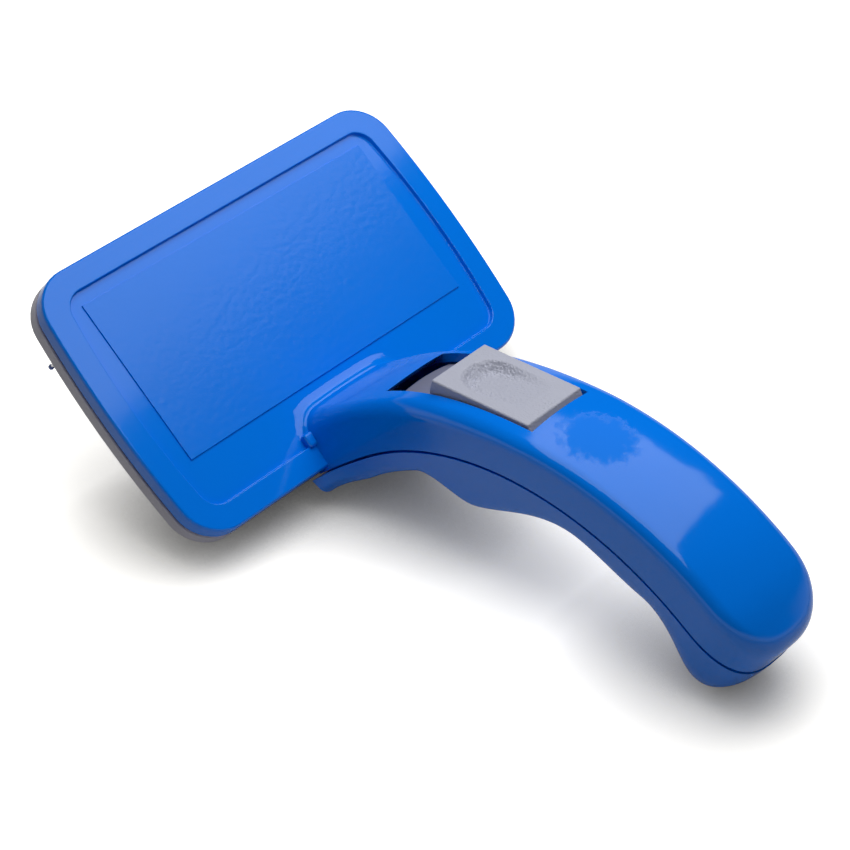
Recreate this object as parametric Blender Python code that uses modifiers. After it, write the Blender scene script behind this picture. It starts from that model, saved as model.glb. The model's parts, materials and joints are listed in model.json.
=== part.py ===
"""Self-cleaning slicker brush for pets, built as its separate pieces.

The brush is modelled in the head's own frame: X across the head, Y towards the edge away from the
handle, Z out of the head's back, with the rim's top at Z = 0. An empty then tilts the whole brush so
that it stands on its nearest pins and on the tail of its handle, as it lies on a table.
"""
import math

import bmesh
import bpy
from mathutils import Matrix, Vector

MM = 0.001

# Head
HEAD_WIDTH = 101.6 * MM
HEAD_DEPTH = 63 * MM
HEAD_CORNER = 8.4 * MM
SIDE_BOW = 2 * MM
COVER_HEIGHT = 3.6 * MM
EDGE_ROUND = 0.8 * MM
WALL = 1.8 * MM
RIM_WIDTH = 5.4 * MM
RECESS_DEPTH = 1.0 * MM
RECESS_CORNER = 4 * MM
PANEL_WIDTH = 81 * MM
PANEL_DEPTH = 38 * MM
PANEL_SHIFT = 4 * MM
PANEL_RISE = 0.35 * MM

# Stripper plate, pins and their base
PLATE_GAP = 0.5 * MM
PLATE_HEIGHT = 3.6 * MM
PLATE_FLOOR = 1.2 * MM
PIN_RADIUS = 0.45 * MM
PIN_HOLE_RADIUS = 1.1 * MM
PIN_REACH = 10.9 * MM
PIN_SIDES = 3
PIN_COLUMN_PITCH = 2.4 * MM
PIN_ROW_PITCH = 6 * MM
PIN_SIDE_MARGIN = 6 * MM
PIN_EDGE_MARGIN = 7.5 * MM
BASE_THICKNESS = 1.2 * MM
BED_THICKNESS = 1.0 * MM
BASE_SCREW_SIDE_INSET = 10 * MM
BASE_SCREW_EDGE_INSET = 7 * MM
BOSS_RADIUS = 2.6 * MM

# Handle arch: the parting line between its two shells follows a circle, less a sag along the grip
ARCH_RADIUS = 69 * MM
ARCH_SETBACK = 1.5 * MM
ARCH_DROP = 4 * MM
ARCH_SAG = 1.4 * MM
ARCH_SAG_ANGLES = (22, 84)
GRIP_HALF_WIDTH = 13.3 * MM
GRIP_TOP = 9.7 * MM
NECK_TOP = 12.0 * MM
NECK_TOP_ANGLES = (18, 50)
GRIP_CROWN = 2.0 * MM
GRIP_FILLET = 2.8 * MM
GRIP_DRAFT = 0.3 * MM
NECK_FLARE = 4.2 * MM
NECK_FLARE_ANGLE = 22
ROOT_FLARE = 3.0 * MM
ROOT_FLARE_ANGLE = 12
LOWER_FILLET = 2.4 * MM
BELLY_ROUND = 5 * MM
BELLY_ANGLES = (62, 88)
SEAM = 0.4 * MM
LOWER_FRONT = 4.2 * MM
TAIL_START = 85
TAIL_END = 98.4
TAIL_OVERHANG = 0.4
TAIL_LEAN = 2.2
TAIL_DIP = 1.2 * MM
TAIL_SQUARENESS = 2.6
TAIL_BELLY_KEPT = 0.55
TAIL_DROP = 0.45
# Depth of the underside below the parting surface: notch, finger bump, palm hollow, tail lobe
UNDERSIDE = ((-4, 2.2 * MM), (0, 2.9 * MM), (10, 5.0 * MM), (22, 5.4 * MM), (36, 11.8 * MM),
             (60, 6.4 * MM), (76, 8.8 * MM), (95, 16 * MM), (99, 16 * MM))

# Thumb slide, in the frame of its straight track: y forwards to the head, z out of the handle
TRACK_ANGLE = 36
SLIDE_TRAVEL = 10.4 * MM
SLOT_REAR = -16.3 * MM
SLOT_END_GAP = 2.6 * MM
BUTTON_WIDTH = 16 * MM
BUTTON_LENGTH = 25.5 * MM
BUTTON_FRONT_TOP = 12.3 * MM
BUTTON_REAR_TOP = 8.2 * MM
BUTTON_ROUND = 0.7 * MM
DISH_HALF_WIDTH = 6.2 * MM
DISH_HALF_LENGTH = 10.5 * MM
DISH_DEPTH = 2.2 * MM
SLIDE_FIT = 0.4 * MM
TONGUE_TOP = 1.4 * MM
TONGUE_THICKNESS = 2.0 * MM
TONGUE_SIDE_GAP = 1.2 * MM
TONGUE_NOSE_LENGTH = 3.5 * MM
TONGUE_NOSE_HALF_WIDTH = 6 * MM

# Drive between the slide and the plate
DRIVE_PIN_RADIUS = 0.75 * MM
DRIVE_PIN_SETBACK = 1.1 * MM
DRIVE_PIN_Z = 6.0 * MM
LIFTER_HALF_THICKNESS = 2.2 * MM
LIFTER_END_WALL = 1.3 * MM
LIFTER_PRONG = 2.0 * MM
LIFTER_LIP = 0.4 * MM
LIFTER_FOOT_THICKNESS = 1.4 * MM
LIFTER_FOOT_HALF_WIDTH = 11 * MM
LIFTER_FOOT_DEPTH = 11 * MM
LIFTER_SCREW_X = 7.5 * MM
FORK_THICKNESS = 2.0 * MM
FORK_HALF_DEPTH = 1.3 * MM

# Return spring, lying under the tongue
SPRING_RADIUS = 2.1 * MM
SPRING_WIRE = 0.35 * MM
SPRING_LENGTH = 20 * MM
SPRING_TURNS = 9
SPRING_POINTS_PER_TURN = 9
SPRING_AXIS = -3.7 * MM
SPRING_NUB_RADIUS = 1.3 * MM
SPRING_NUB_LENGTH = 2.5 * MM
SEAT_THICKNESS = 2.0 * MM
SEAT_HALF_WIDTH = 4 * MM

# Screws
SHANK_RADIUS = 1.1 * MM
HEAD_RADIUS = 2.4 * MM
HEAD_HEIGHT = 1.6 * MM
WASHER_HEAD_RADIUS = 3.5 * MM
WASHER_HEAD_HEIGHT = 1.0 * MM
HEAD_CROWN_SHARE = 0.8
HEAD_EDGE_SHARE = 0.5
GRIP_SCREWS = (("grip_screw_middle", 60), ("grip_screw_tail", 85))
GRIP_BOSS_RADIUS = 3.4 * MM
GRIP_HEAD_SEAT = 3.2 * MM
GRIP_SCREW_REACH = 5.5 * MM

CLEARANCE = 0.3 * MM
OVERLAP = 0.6 * MM
WELD = 0.01 * MM
SMOOTH_ANGLE = math.radians(35)
CORNER_STEPS = 5
SIDE_SHARES = (0.25, 0.5, 0.75)
CREST_SHARES = (-0.66, -0.33, 0, 0.33, 0.66)
FILLET_STEPS = 4
ROUND_SIDES = 12
# Least half width and fillet of a section, and the largest fillet as a share of its side
LEAST_WIDTH = 0.6 * MM
LEAST_FILLET = 0.8 * MM
LEAST_DEPTH = 0.4 * MM
FILLET_LIMIT = 0.8
# Angles between sections at the neck, along the grip and at the tail, and the cut at the very end
NECK_STEP = 3
GRIP_STEP = 4.5
TAIL_STEP = 2
NECK_STEPS_END = 20
TAIL_CUT = 0.4
HOLLOW_CUT = 1.0
TAIL_LEAD = 10

# Levels worked out from the sizes above
NEAR_EDGE = -HEAD_DEPTH / 2
ARCH_Y = NEAR_EDGE - ARCH_SETBACK - ARCH_RADIUS
ARCH_Z = -ARCH_DROP
CEILING = -RECESS_DEPTH - WALL
PLATE_TOP = -COVER_HEIGHT - PLATE_GAP
PLATE_BOTTOM = PLATE_TOP - PLATE_HEIGHT
PLATE_FLOOR_TOP = PLATE_BOTTOM + PLATE_FLOOR
BASE_TOP = CEILING - CLEARANCE
BASE_BOTTOM = BASE_TOP - BASE_THICKNESS
BED_TOP = BASE_BOTTOM - CLEARANCE
BED_BOTTOM = BED_TOP - BED_THICKNESS
PIN_TIP = PLATE_BOTTOM - PIN_REACH
BASE_INSET = WALL + 2.5 * CLEARANCE
BASE_SCREW_REACH = BASE_THICKNESS + 3 * CLEARANCE
LIFTER_FOOT_BOTTOM = PLATE_FLOOR_TOP + CLEARANCE
LIFTER_FOOT_TOP = LIFTER_FOOT_BOTTOM + LIFTER_FOOT_THICKNESS
LIFTER_SCREW_REACH = PLATE_FLOOR + LIFTER_FOOT_THICKNESS + 6 * CLEARANCE
PLATE_STROKE = SLIDE_TRAVEL * math.cos(math.radians(TRACK_ANGLE))
SLIP = SLIDE_TRAVEL * math.sin(math.radians(TRACK_ANGLE))
BUTTON_REAR = SLOT_REAR + 2 * SLIDE_FIT
BUTTON_FRONT = BUTTON_REAR + BUTTON_LENGTH
SLOT_FRONT = BUTTON_FRONT + SLIDE_TRAVEL + SLOT_END_GAP
TONGUE_LOW = TONGUE_TOP - TONGUE_THICKNESS
TONGUE_HALF_WIDTH = GRIP_HALF_WIDTH - WALL - TONGUE_SIDE_GAP
DRIVE_PIN_ROOM = DRIVE_PIN_RADIUS + CLEARANCE
LIFTER_TOP = DRIVE_PIN_Z + DRIVE_PIN_ROOM + LIFTER_END_WALL
LIFTER_WEB = DRIVE_PIN_Z - DRIVE_PIN_ROOM - LIFTER_PRONG
LIFTER_FOOT_REAR = NEAR_EDGE + WALL + CLEARANCE
LIFTER_FOOT_FRONT = NEAR_EDGE + LIFTER_FOOT_DEPTH
LUG_FRONT = BUTTON_REAR + SEAT_THICKNESS
SPRING_REAR = LUG_FRONT + CLEARANCE
SPRING_FRONT = SPRING_REAR + SPRING_LENGTH

for old in list(bpy.data.objects):
    bpy.data.objects.remove(old, do_unlink=True)

parts = bpy.data.collections.new("slicker_brush")
cutters = bpy.data.collections.new("cutters")
bpy.context.scene.collection.children.link(parts)
bpy.context.scene.collection.children.link(cutters)


def material(name, colour, roughness, metallic=0.0):
    """A Principled BSDF with the piece's colour and finish."""
    made = bpy.data.materials.new(name)
    made.use_nodes = True
    shader = made.node_tree.nodes["Principled BSDF"]
    shader.inputs["Base Color"].default_value = (*colour, 1.0)
    shader.inputs["Roughness"].default_value = roughness
    shader.inputs["Metallic"].default_value = metallic
    made.diffuse_color = (*colour, 1.0)
    return made


BLUE = material("blue_gloss_plastic", (0.0, 0.15, 0.74), 0.25)
GREY = material("grey_matte_plastic", (0.38, 0.38, 0.45), 0.55)
WHITE = material("white_base_plastic", (0.72, 0.72, 0.70), 0.5)
RUBBER = material("pin_wire_and_cushion", (0.55, 0.56, 0.62), 0.35, 0.4)
STEEL = material("bright_steel", (0.62, 0.62, 0.63), 0.3, 1.0)


def empty(name, location=(0, 0, 0), turn_x=0.0, parent=None):
    """A frame that pieces hang on, turned about X only."""
    made = bpy.data.objects.new(name, None)
    made.location = location
    made.rotation_euler = (turn_x, 0, 0)
    made.parent = parent
    parts.objects.link(made)
    return made


def place(mesh, name, finish, parent):
    """Put a finished mesh in the object's collection as one named piece."""
    made = bpy.data.objects.new(name, mesh)
    mesh.materials.append(finish)
    made.parent = parent
    parts.objects.link(made)
    return made


def guide(mesh, name, parent):
    """Put a mesh in the cutters' collection, out of the finished model."""
    made = bpy.data.objects.new(name, mesh)
    made.hide_render = True
    made.display_type = "WIRE"
    made.parent = parent
    cutters.objects.link(made)
    return made


def combine(piece, tool, operation):
    """Cut a tool from a piece, or join it on, with an exact Boolean."""
    step = piece.modifiers.new(tool.name, "BOOLEAN")
    step.operation = operation
    step.object = tool
    step.solver = "EXACT"


def finish_mesh(bm, name):
    """Write a bmesh to a mesh, with its faces pointing out."""
    bmesh.ops.recalc_face_normals(bm, faces=bm.faces)
    mesh = bpy.data.meshes.new(name)
    bm.to_mesh(mesh)
    bm.free()
    mesh.shade_smooth()
    mesh.set_sharp_from_angle(angle=SMOOTH_ANGLE)
    return mesh


def add_box(bm, low, high):
    """Add a box between two corners."""
    low = Vector(low)
    high = Vector(high)
    size = high - low
    matrix = Matrix.Translation((low + high) / 2) @ Matrix.Diagonal((*size, 1))
    return bmesh.ops.create_cube(bm, size=1, matrix=matrix)["verts"]


def add_rod(bm, radius, start, end, sides=ROUND_SIDES):
    """Add a closed round rod between two points."""
    start = Vector(start)
    end = Vector(end)
    run = end - start
    matrix = Matrix.Translation((start + end) / 2) @ run.to_track_quat("Z", "Y").to_matrix().to_4x4()
    bmesh.ops.create_cone(bm, cap_ends=True, segments=sides, radius1=radius, radius2=radius,
                          depth=run.length, matrix=matrix)


def box(name, low, high):
    """A mesh of one box between two corners."""
    bm = bmesh.new()
    add_box(bm, low, high)
    return finish_mesh(bm, name)


def rods(name, runs):
    """One mesh of several round rods, each given as a radius, a start and an end."""
    bm = bmesh.new()
    for radius, start, end in runs:
        add_rod(bm, radius, start, end)
    return finish_mesh(bm, name)


def head_outline(inset, corner):
    """Rounded rectangle of the head, inset on all sides, whose short sides bow out."""
    half_width = HEAD_WIDTH / 2 - inset
    half_depth = HEAD_DEPTH / 2 - inset
    points = []
    for turn, sign_x, sign_y in ((0, 1, 1), (90, -1, 1), (180, -1, -1), (270, 1, -1)):
        for step in range(CORNER_STEPS + 1):
            angle = math.radians(turn + 90 * step / CORNER_STEPS)
            x = sign_x * (half_width - corner) + corner * math.cos(angle)
            y = sign_y * (half_depth - corner) + corner * math.sin(angle)
            points.append((x, y))
    outline = []
    for index, (x, y) in enumerate(points):
        outline.append((x, y))
        side = points[(index + 1) % len(points)]
        if abs(x - side[0]) < OVERLAP and abs(y - side[1]) > corner:
            outline.extend((x, y + (side[1] - y) * share) for share in SIDE_SHARES)
    return [(x - math.copysign(SIDE_BOW * (y / half_depth) ** 2, x), y) for x, y in outline]


def slab(name, outline, low, high, round_top=0.0):
    """A flat outline as a filled curve, given its thickness, welded into one closed mesh."""
    curve = bpy.data.curves.new(name, "CURVE")
    curve.dimensions = "2D"
    curve.fill_mode = "BOTH"
    curve.extrude = (high - low) / 2
    spline = curve.splines.new("POLY")
    spline.points.add(len(outline) - 1)
    for point, (x, y) in zip(spline.points, outline):
        point.co = (x, y, 0, 1)
    spline.use_cyclic_u = True
    drawn = bpy.data.objects.new(name, curve)
    cutters.objects.link(drawn)
    mesh = bpy.data.meshes.new_from_object(drawn.evaluated_get(bpy.context.evaluated_depsgraph_get()))
    bpy.data.objects.remove(drawn, do_unlink=True)
    bm = bmesh.new()
    bm.from_mesh(mesh)
    bmesh.ops.remove_doubles(bm, verts=bm.verts, dist=WELD)
    bmesh.ops.translate(bm, verts=bm.verts, vec=(0, 0, (low + high) / 2))
    bmesh.ops.dissolve_limit(bm, angle_limit=math.radians(1), verts=bm.verts, edges=bm.edges)
    if round_top:
        rim = [edge for edge in bm.edges if all(abs(v.co.z - high) < WELD for v in edge.verts)]
        bmesh.ops.bevel(bm, geom=rim, offset=round_top, segments=2, affect="EDGES", profile=0.5)
    return finish_mesh(bm, name)


def rectangle(width, depth, shift):
    """Plain rectangle, moved along Y."""
    return [(sx * width / 2, sy * depth / 2 + shift) for sx, sy in ((-1, -1), (1, -1), (1, 1), (-1, 1))]


def ease(value, low, high):
    """Smooth step from 0 at low to 1 at high."""
    share = min(max((value - low) / (high - low), 0.0), 1.0)
    return share * share * (3 - 2 * share)


def fade(angle, limit):
    """1 at the head, falling smoothly to 0 at the limit angle."""
    return max(0.0, 1 - max(angle, 0.0) / limit) ** 2


def tail_share(angle, end):
    """Share of the full width that is left towards the round tail."""
    run = min(max((angle - TAIL_START) / (end - TAIL_START), 0.0), 1.0)
    return (1 - run ** TAIL_SQUARENESS) ** (1 / TAIL_SQUARENESS)


def grip_half_width(angle, end):
    """Half width of the handle, flared at the neck and rounded at the tail."""
    width = GRIP_HALF_WIDTH + NECK_FLARE * fade(angle, NECK_FLARE_ANGLE)
    return width * tail_share(angle, end)


def grip_top(angle):
    """Height of the handle's crown over the parting surface."""
    top = NECK_TOP + (GRIP_TOP - NECK_TOP) * ease(angle, *NECK_TOP_ANGLES)
    drop = 1 - TAIL_DROP * ease(angle, TAIL_START, TAIL_END + TAIL_STEP) ** 2
    return (top + ROOT_FLARE * fade(angle, ROOT_FLARE_ANGLE)) * drop


def underside(angle):
    """Depth of the handle's underside below the parting surface."""
    for (low, start), (high, end) in zip(UNDERSIDE, UNDERSIDE[1:]):
        if angle <= high:
            return start + (end - start) * ease(angle, low, high)
    return UNDERSIDE[-1][1]


def fillet_corner(x_side, level, radius, rise):
    """Quarter round from a side wall at x_side to a level, as points from the wall to the level."""
    sign = math.copysign(1, x_side)
    inner = x_side - sign * radius
    steps = [math.radians(90 * step / FILLET_STEPS) for step in range(FILLET_STEPS + 1)]
    return [(inner + sign * radius * math.cos(a), level + rise * radius * (math.sin(a) - 1)) for a in steps]


def upper_section(angle, inset, end):
    """Section of the upper shell: wall, fillet, crown, fillet and wall."""
    width = max(grip_half_width(angle, end) - inset, LEAST_WIDTH)
    top = grip_top(angle) - inset
    fillet = min(max(GRIP_FILLET - inset, LEAST_FILLET), width * FILLET_LIMIT)
    flat = width - GRIP_DRAFT - fillet
    crown = GRIP_CROWN * min(1.0, width / GRIP_HALF_WIDTH)
    foot = SEAM / 2 if inset == 0 else -OVERLAP
    left = [(-width, foot - parting_dip(angle))] + fillet_corner(-width + GRIP_DRAFT, top - crown, fillet, 1)
    crest = [(flat * share, top - crown * share ** 2) for share in CREST_SHARES]
    right = [(-x, r) for x, r in reversed(left)]
    return left + crest + right


def lower_section(angle, inset, end):
    """Section of the lower shell: wall, rounded edge, flat bottom and the same again."""
    width = max(grip_half_width(angle, end) - inset, LEAST_WIDTH)
    depth = max(underside(angle) - inset, LEAST_DEPTH)
    depth *= TAIL_BELLY_KEPT + (1 - TAIL_BELLY_KEPT) * tail_share(angle, end)
    belly = LOWER_FILLET + BELLY_ROUND * ease(angle, *BELLY_ANGLES)
    fillet = min(max(belly - inset, LEAST_FILLET), width * FILLET_LIMIT, depth * FILLET_LIMIT)
    foot = -SEAM / 2 if inset == 0 else OVERLAP
    left = [(-width, foot - parting_dip(angle))] + fillet_corner(-width + GRIP_DRAFT, -depth, fillet, -1)
    right = [(-x, r) for x, r in reversed(left)]
    return left + right


def arch_point(angle, offset, x=0.0):
    """A point of the arch, by its angle and its offset from the parting surface."""
    turn = math.radians(angle)
    reach = ARCH_RADIUS + offset
    return Vector((x, ARCH_Y + reach * math.cos(turn), ARCH_Z + reach * math.sin(turn)))


def parting_dip(angle):
    """How far the shells' parting line lies below its arc along the grip and at the tail."""
    return ARCH_SAG * ease(angle, *ARCH_SAG_ANGLES) + TAIL_DIP * ease(angle, TAIL_START, TAIL_END)


def shell_point(angle, offset, x):
    """A point of a shell's skin, whose sections lean back towards the head over the tail."""
    lean = TAIL_LEAN * offset / GRIP_TOP * ease(angle, TAIL_START - TAIL_LEAD, TAIL_END)
    return arch_point(angle - lean, offset, x)


def stations(start, end):
    """Angles of the sections: close together at the neck and the tail, wider between."""
    angles = [start]
    while angles[-1] < end:
        here = angles[-1]
        if here < NECK_STEPS_END:
            angles.append(here + NECK_STEP)
        elif here < TAIL_START - GRIP_STEP:
            angles.append(here + GRIP_STEP)
        else:
            angles.append(here + TAIL_STEP)
    angles[-1] = end
    return angles


def arch_loft(name, section, start, end, inset, tail_end):
    """Skin the arch's sections into one closed solid, with flat ends."""
    bm = bmesh.new()
    rings = []
    for angle in stations(start, end):
        rings.append([bm.verts.new(shell_point(angle, r, x)) for x, r in section(angle, inset, tail_end)])
    for ring, after in zip(rings, rings[1:]):
        for index in range(len(ring)):
            follow = (index + 1) % len(ring)
            bm.faces.new((ring[index], ring[follow], after[follow], after[index]))
    bm.faces.new(rings[0])
    bm.faces.new(rings[-1])
    return finish_mesh(bm, name)


def angle_at_height(z):
    """Angle where the parting surface passes a height near the head."""
    return math.degrees(math.asin((z - ARCH_Z) / ARCH_RADIUS))


def neck_front(z):
    """How far forward a piece inside the neck can reach at a height."""
    inner = ARCH_RADIUS + grip_top(angle_at_height(z)) - WALL - CLEARANCE
    return ARCH_Y + math.sqrt(inner ** 2 - (z - ARCH_Z) ** 2)


def wall_angle(thickness):
    """Angle that a wall of this thickness takes up along the arch."""
    return math.degrees(thickness / ARCH_RADIUS)


def turned(name, profile, finish, parent, location, turn_x):
    """A turned piece: a profile on +X, run from top to bottom, swept round Z."""
    mesh = bpy.data.meshes.new(name)
    edges = [(index, index + 1) for index in range(len(profile) - 1)]
    mesh.from_pydata([(r, 0, z) for r, z in profile], edges, [])
    piece = place(mesh, name, finish, parent)
    sweep = piece.modifiers.new("turn", "SCREW")
    sweep.steps = ROUND_SIDES
    sweep.render_steps = ROUND_SIDES
    sweep.use_merge_vertices = True
    sweep.merge_threshold = WELD
    piece.location = location
    piece.rotation_euler = (turn_x, 0, 0)
    return piece


def screw(name, head_radius, head_height, reach, parent, location, turn_x):
    """A screw whose head's seat is at its origin, with the head on +Z and the shank on -Z."""
    profile = [(0, head_height), (head_radius * HEAD_CROWN_SHARE, head_height),
               (head_radius, head_height * HEAD_EDGE_SHARE), (head_radius, 0), (SHANK_RADIUS, 0),
               (SHANK_RADIUS, -reach + SHANK_RADIUS), (0, -reach)]
    return turned(name, profile, STEEL, parent, location, turn_x)


def pin_places():
    """Places of the pins: staggered columns, left out round the screws and the lifter."""
    field_width = HEAD_WIDTH - 2 * PIN_SIDE_MARGIN
    columns = int(field_width / PIN_COLUMN_PITCH) + 1
    rows = int((HEAD_DEPTH - 2 * PIN_EDGE_MARGIN + WELD) / PIN_ROW_PITCH) + 1
    places = []
    for column in range(columns):
        x = field_width * (column / (columns - 1) - 0.5)
        for row in range(rows):
            y = NEAR_EDGE + PIN_EDGE_MARGIN + PIN_ROW_PITCH * (row + 0.5 * (column % 2))
            near_screw = any(math.hypot(x - sx, y - sy) < WASHER_HEAD_RADIUS + 3 * PIN_RADIUS
                             for sx, sy in BASE_SCREW_PLACES)
            near_lifter = (abs(x) < LIFTER_FOOT_HALF_WIDTH + PIN_HOLE_RADIUS + CLEARANCE
                           and y < LIFTER_FOOT_FRONT + PIN_HOLE_RADIUS + CLEARANCE)
            if not near_screw and not near_lifter:
                places.append((x, y))
    return places


def prisms(name, radius, low, high):
    """One upright prism for each pin, all in one mesh."""
    bm = bmesh.new()
    for x, y in pin_places():
        add_rod(bm, radius, (x, y, low), (x, y, high), PIN_SIDES)
    return finish_mesh(bm, name)


BASE_SCREW_X = HEAD_WIDTH / 2 - BASE_SCREW_SIDE_INSET
BASE_SCREW_Y = HEAD_DEPTH / 2 - BASE_SCREW_EDGE_INSET
BASE_SCREW_PLACES = [(sx * BASE_SCREW_X, sy * BASE_SCREW_Y) for sx in (-1, 1) for sy in (-1, 1)]
# The drive pin stands behind the head's edge, further back where its run in the lifter needs the room
PIN_RUN = SLIP + DRIVE_PIN_ROOM + LIFTER_END_WALL
DRIVE_PIN_Y = min(NEAR_EDGE - DRIVE_PIN_SETBACK, neck_front(LIFTER_TOP) - PIN_RUN)
LIFTER_FRONT = DRIVE_PIN_Y + PIN_RUN
LIFTER_REAR = DRIVE_PIN_Y - LIFTER_LIP
TRACK_TURN = math.radians(TRACK_ANGLE - 90)
TRACK = Matrix.Translation(arch_point(TRACK_ANGLE, 0)) @ Matrix.Rotation(TRACK_TURN, 4, "X")

brush = empty("brush_rest")
track = empty("slide_track", TRACK.translation, TRACK_TURN, brush)
plate_guide = empty("plate_guide", parent=brush)


def build_upper_shell():
    """Head cover with its rim, recess and raised panel, in one with the top of the handle."""
    shell = place(slab("upper_shell", head_outline(0, HEAD_CORNER), -COVER_HEIGHT, 0, EDGE_ROUND),
                  "upper_shell", BLUE, brush)
    recess = slab("recess", head_outline(RIM_WIDTH, RECESS_CORNER), -RECESS_DEPTH, OVERLAP)
    combine(shell, guide(recess, "recess", brush), "DIFFERENCE")
    panel = slab("panel", rectangle(PANEL_WIDTH, PANEL_DEPTH, PANEL_SHIFT),
                 -RECESS_DEPTH - OVERLAP, -RECESS_DEPTH + PANEL_RISE)
    combine(shell, guide(panel, "panel", brush), "UNION")
    start = angle_at_height(-COVER_HEIGHT)
    arch = arch_loft("grip_top", upper_section, start, TAIL_END - TAIL_CUT, 0, TAIL_END)
    combine(shell, guide(arch, "grip_top", brush), "UNION")
    hollow = slab("head_hollow", head_outline(WALL, HEAD_CORNER - WALL), -COVER_HEIGHT - OVERLAP, CEILING)
    combine(shell, guide(hollow, "head_hollow", brush), "DIFFERENCE")
    bore = arch_loft("grip_hollow", upper_section, start - wall_angle(OVERLAP),
                     TAIL_END - wall_angle(WALL) - HOLLOW_CUT, WALL, TAIL_END)
    combine(shell, guide(bore, "grip_hollow", brush), "DIFFERENCE")
    posts = [(BOSS_RADIUS, (x, y, -COVER_HEIGHT), (x, y, CEILING + OVERLAP)) for x, y in BASE_SCREW_PLACES]
    pilots = [(SHANK_RADIUS + CLEARANCE, (x, y, -COVER_HEIGHT - OVERLAP), (x, y, CEILING + OVERLAP))
              for x, y in BASE_SCREW_PLACES]
    for _, angle in GRIP_SCREWS:
        low = SEAM / 2 - parting_dip(angle)
        high = grip_top(angle) - WALL / 2
        posts.append((GRIP_BOSS_RADIUS, arch_point(angle, low), arch_point(angle, high)))
        pilots.append((SHANK_RADIUS + CLEARANCE, arch_point(angle, low - OVERLAP),
                       arch_point(angle, GRIP_SCREW_REACH + CLEARANCE)))
    combine(shell, guide(rods("cover_posts", posts), "cover_posts", brush), "UNION")
    combine(shell, guide(rods("cover_pilots", pilots), "cover_pilots", brush), "DIFFERENCE")
    slot_half_width = BUTTON_WIDTH / 2 + SLIDE_FIT
    slot = box("slide_slot", (-slot_half_width, SLOT_REAR, TONGUE_TOP + SLIDE_FIT),
               (slot_half_width, SLOT_FRONT, 2 * BUTTON_FRONT_TOP))
    combine(shell, guide(slot, "slide_slot", track), "DIFFERENCE")


def build_lower_shell():
    """Underside of the handle, with the spring's seat and two screw wells."""
    start = angle_at_height(-LOWER_FRONT)
    end = TAIL_END - TAIL_OVERHANG
    shell = place(arch_loft("lower_shell", lower_section, start, end - TAIL_CUT, 0, end),
                  "lower_shell", BLUE, brush)
    bore = arch_loft("lower_hollow", lower_section, start + wall_angle(WALL),
                     end - wall_angle(WALL) - HOLLOW_CUT, WALL, end)
    combine(shell, guide(bore, "lower_hollow", brush), "DIFFERENCE")
    seat_y = SPRING_FRONT + CLEARANCE + SEAT_THICKNESS / 2
    seat_angle = TRACK_ANGLE - math.degrees(math.asin(seat_y / ARCH_RADIUS))
    floor_reach = ARCH_RADIUS - underside(seat_angle) + WALL / 2
    seat_floor = math.sqrt(floor_reach ** 2 - seat_y ** 2) - ARCH_RADIUS
    seat = box("spring_seat", (-SEAT_HALF_WIDTH, SPRING_FRONT + CLEARANCE, seat_floor),
               (SEAT_HALF_WIDTH, SPRING_FRONT + CLEARANCE + SEAT_THICKNESS, TONGUE_LOW - 2 * CLEARANCE))
    combine(shell, guide(seat, "spring_seat", track), "UNION")
    nub = rods("seat_nub", [(SPRING_NUB_RADIUS, (0, SPRING_FRONT + CLEARANCE + OVERLAP, SPRING_AXIS),
                             (0, SPRING_FRONT - SPRING_NUB_LENGTH, SPRING_AXIS))])
    combine(shell, guide(nub, "seat_nub", track), "UNION")
    wells = []
    holes = []
    for _, angle in GRIP_SCREWS:
        depth = underside(angle)
        well_top = -SEAM / 2 - parting_dip(angle)
        wells.append((GRIP_BOSS_RADIUS, arch_point(angle, -depth + WALL / 3), arch_point(angle, well_top)))
        holes.append((SHANK_RADIUS + CLEARANCE, arch_point(angle, -GRIP_HEAD_SEAT - OVERLAP),
                      arch_point(angle, OVERLAP)))
        holes.append((HEAD_RADIUS + CLEARANCE, arch_point(angle, -depth - WALL),
                      arch_point(angle, -GRIP_HEAD_SEAT)))
    combine(shell, guide(rods("screw_wells", wells), "screw_wells", brush), "UNION")
    for index, hole in enumerate(holes):
        combine(shell, guide(rods(f"well_hole_{index}", [hole]), f"well_hole_{index}", brush), "DIFFERENCE")
    for name, angle in GRIP_SCREWS:
        seat_point = arch_point(angle, -GRIP_HEAD_SEAT - CLEARANCE)
        screw(name, HEAD_RADIUS, HEAD_HEIGHT, GRIP_SCREW_REACH + GRIP_HEAD_SEAT, brush, seat_point,
              math.radians(angle + 90))


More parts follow.
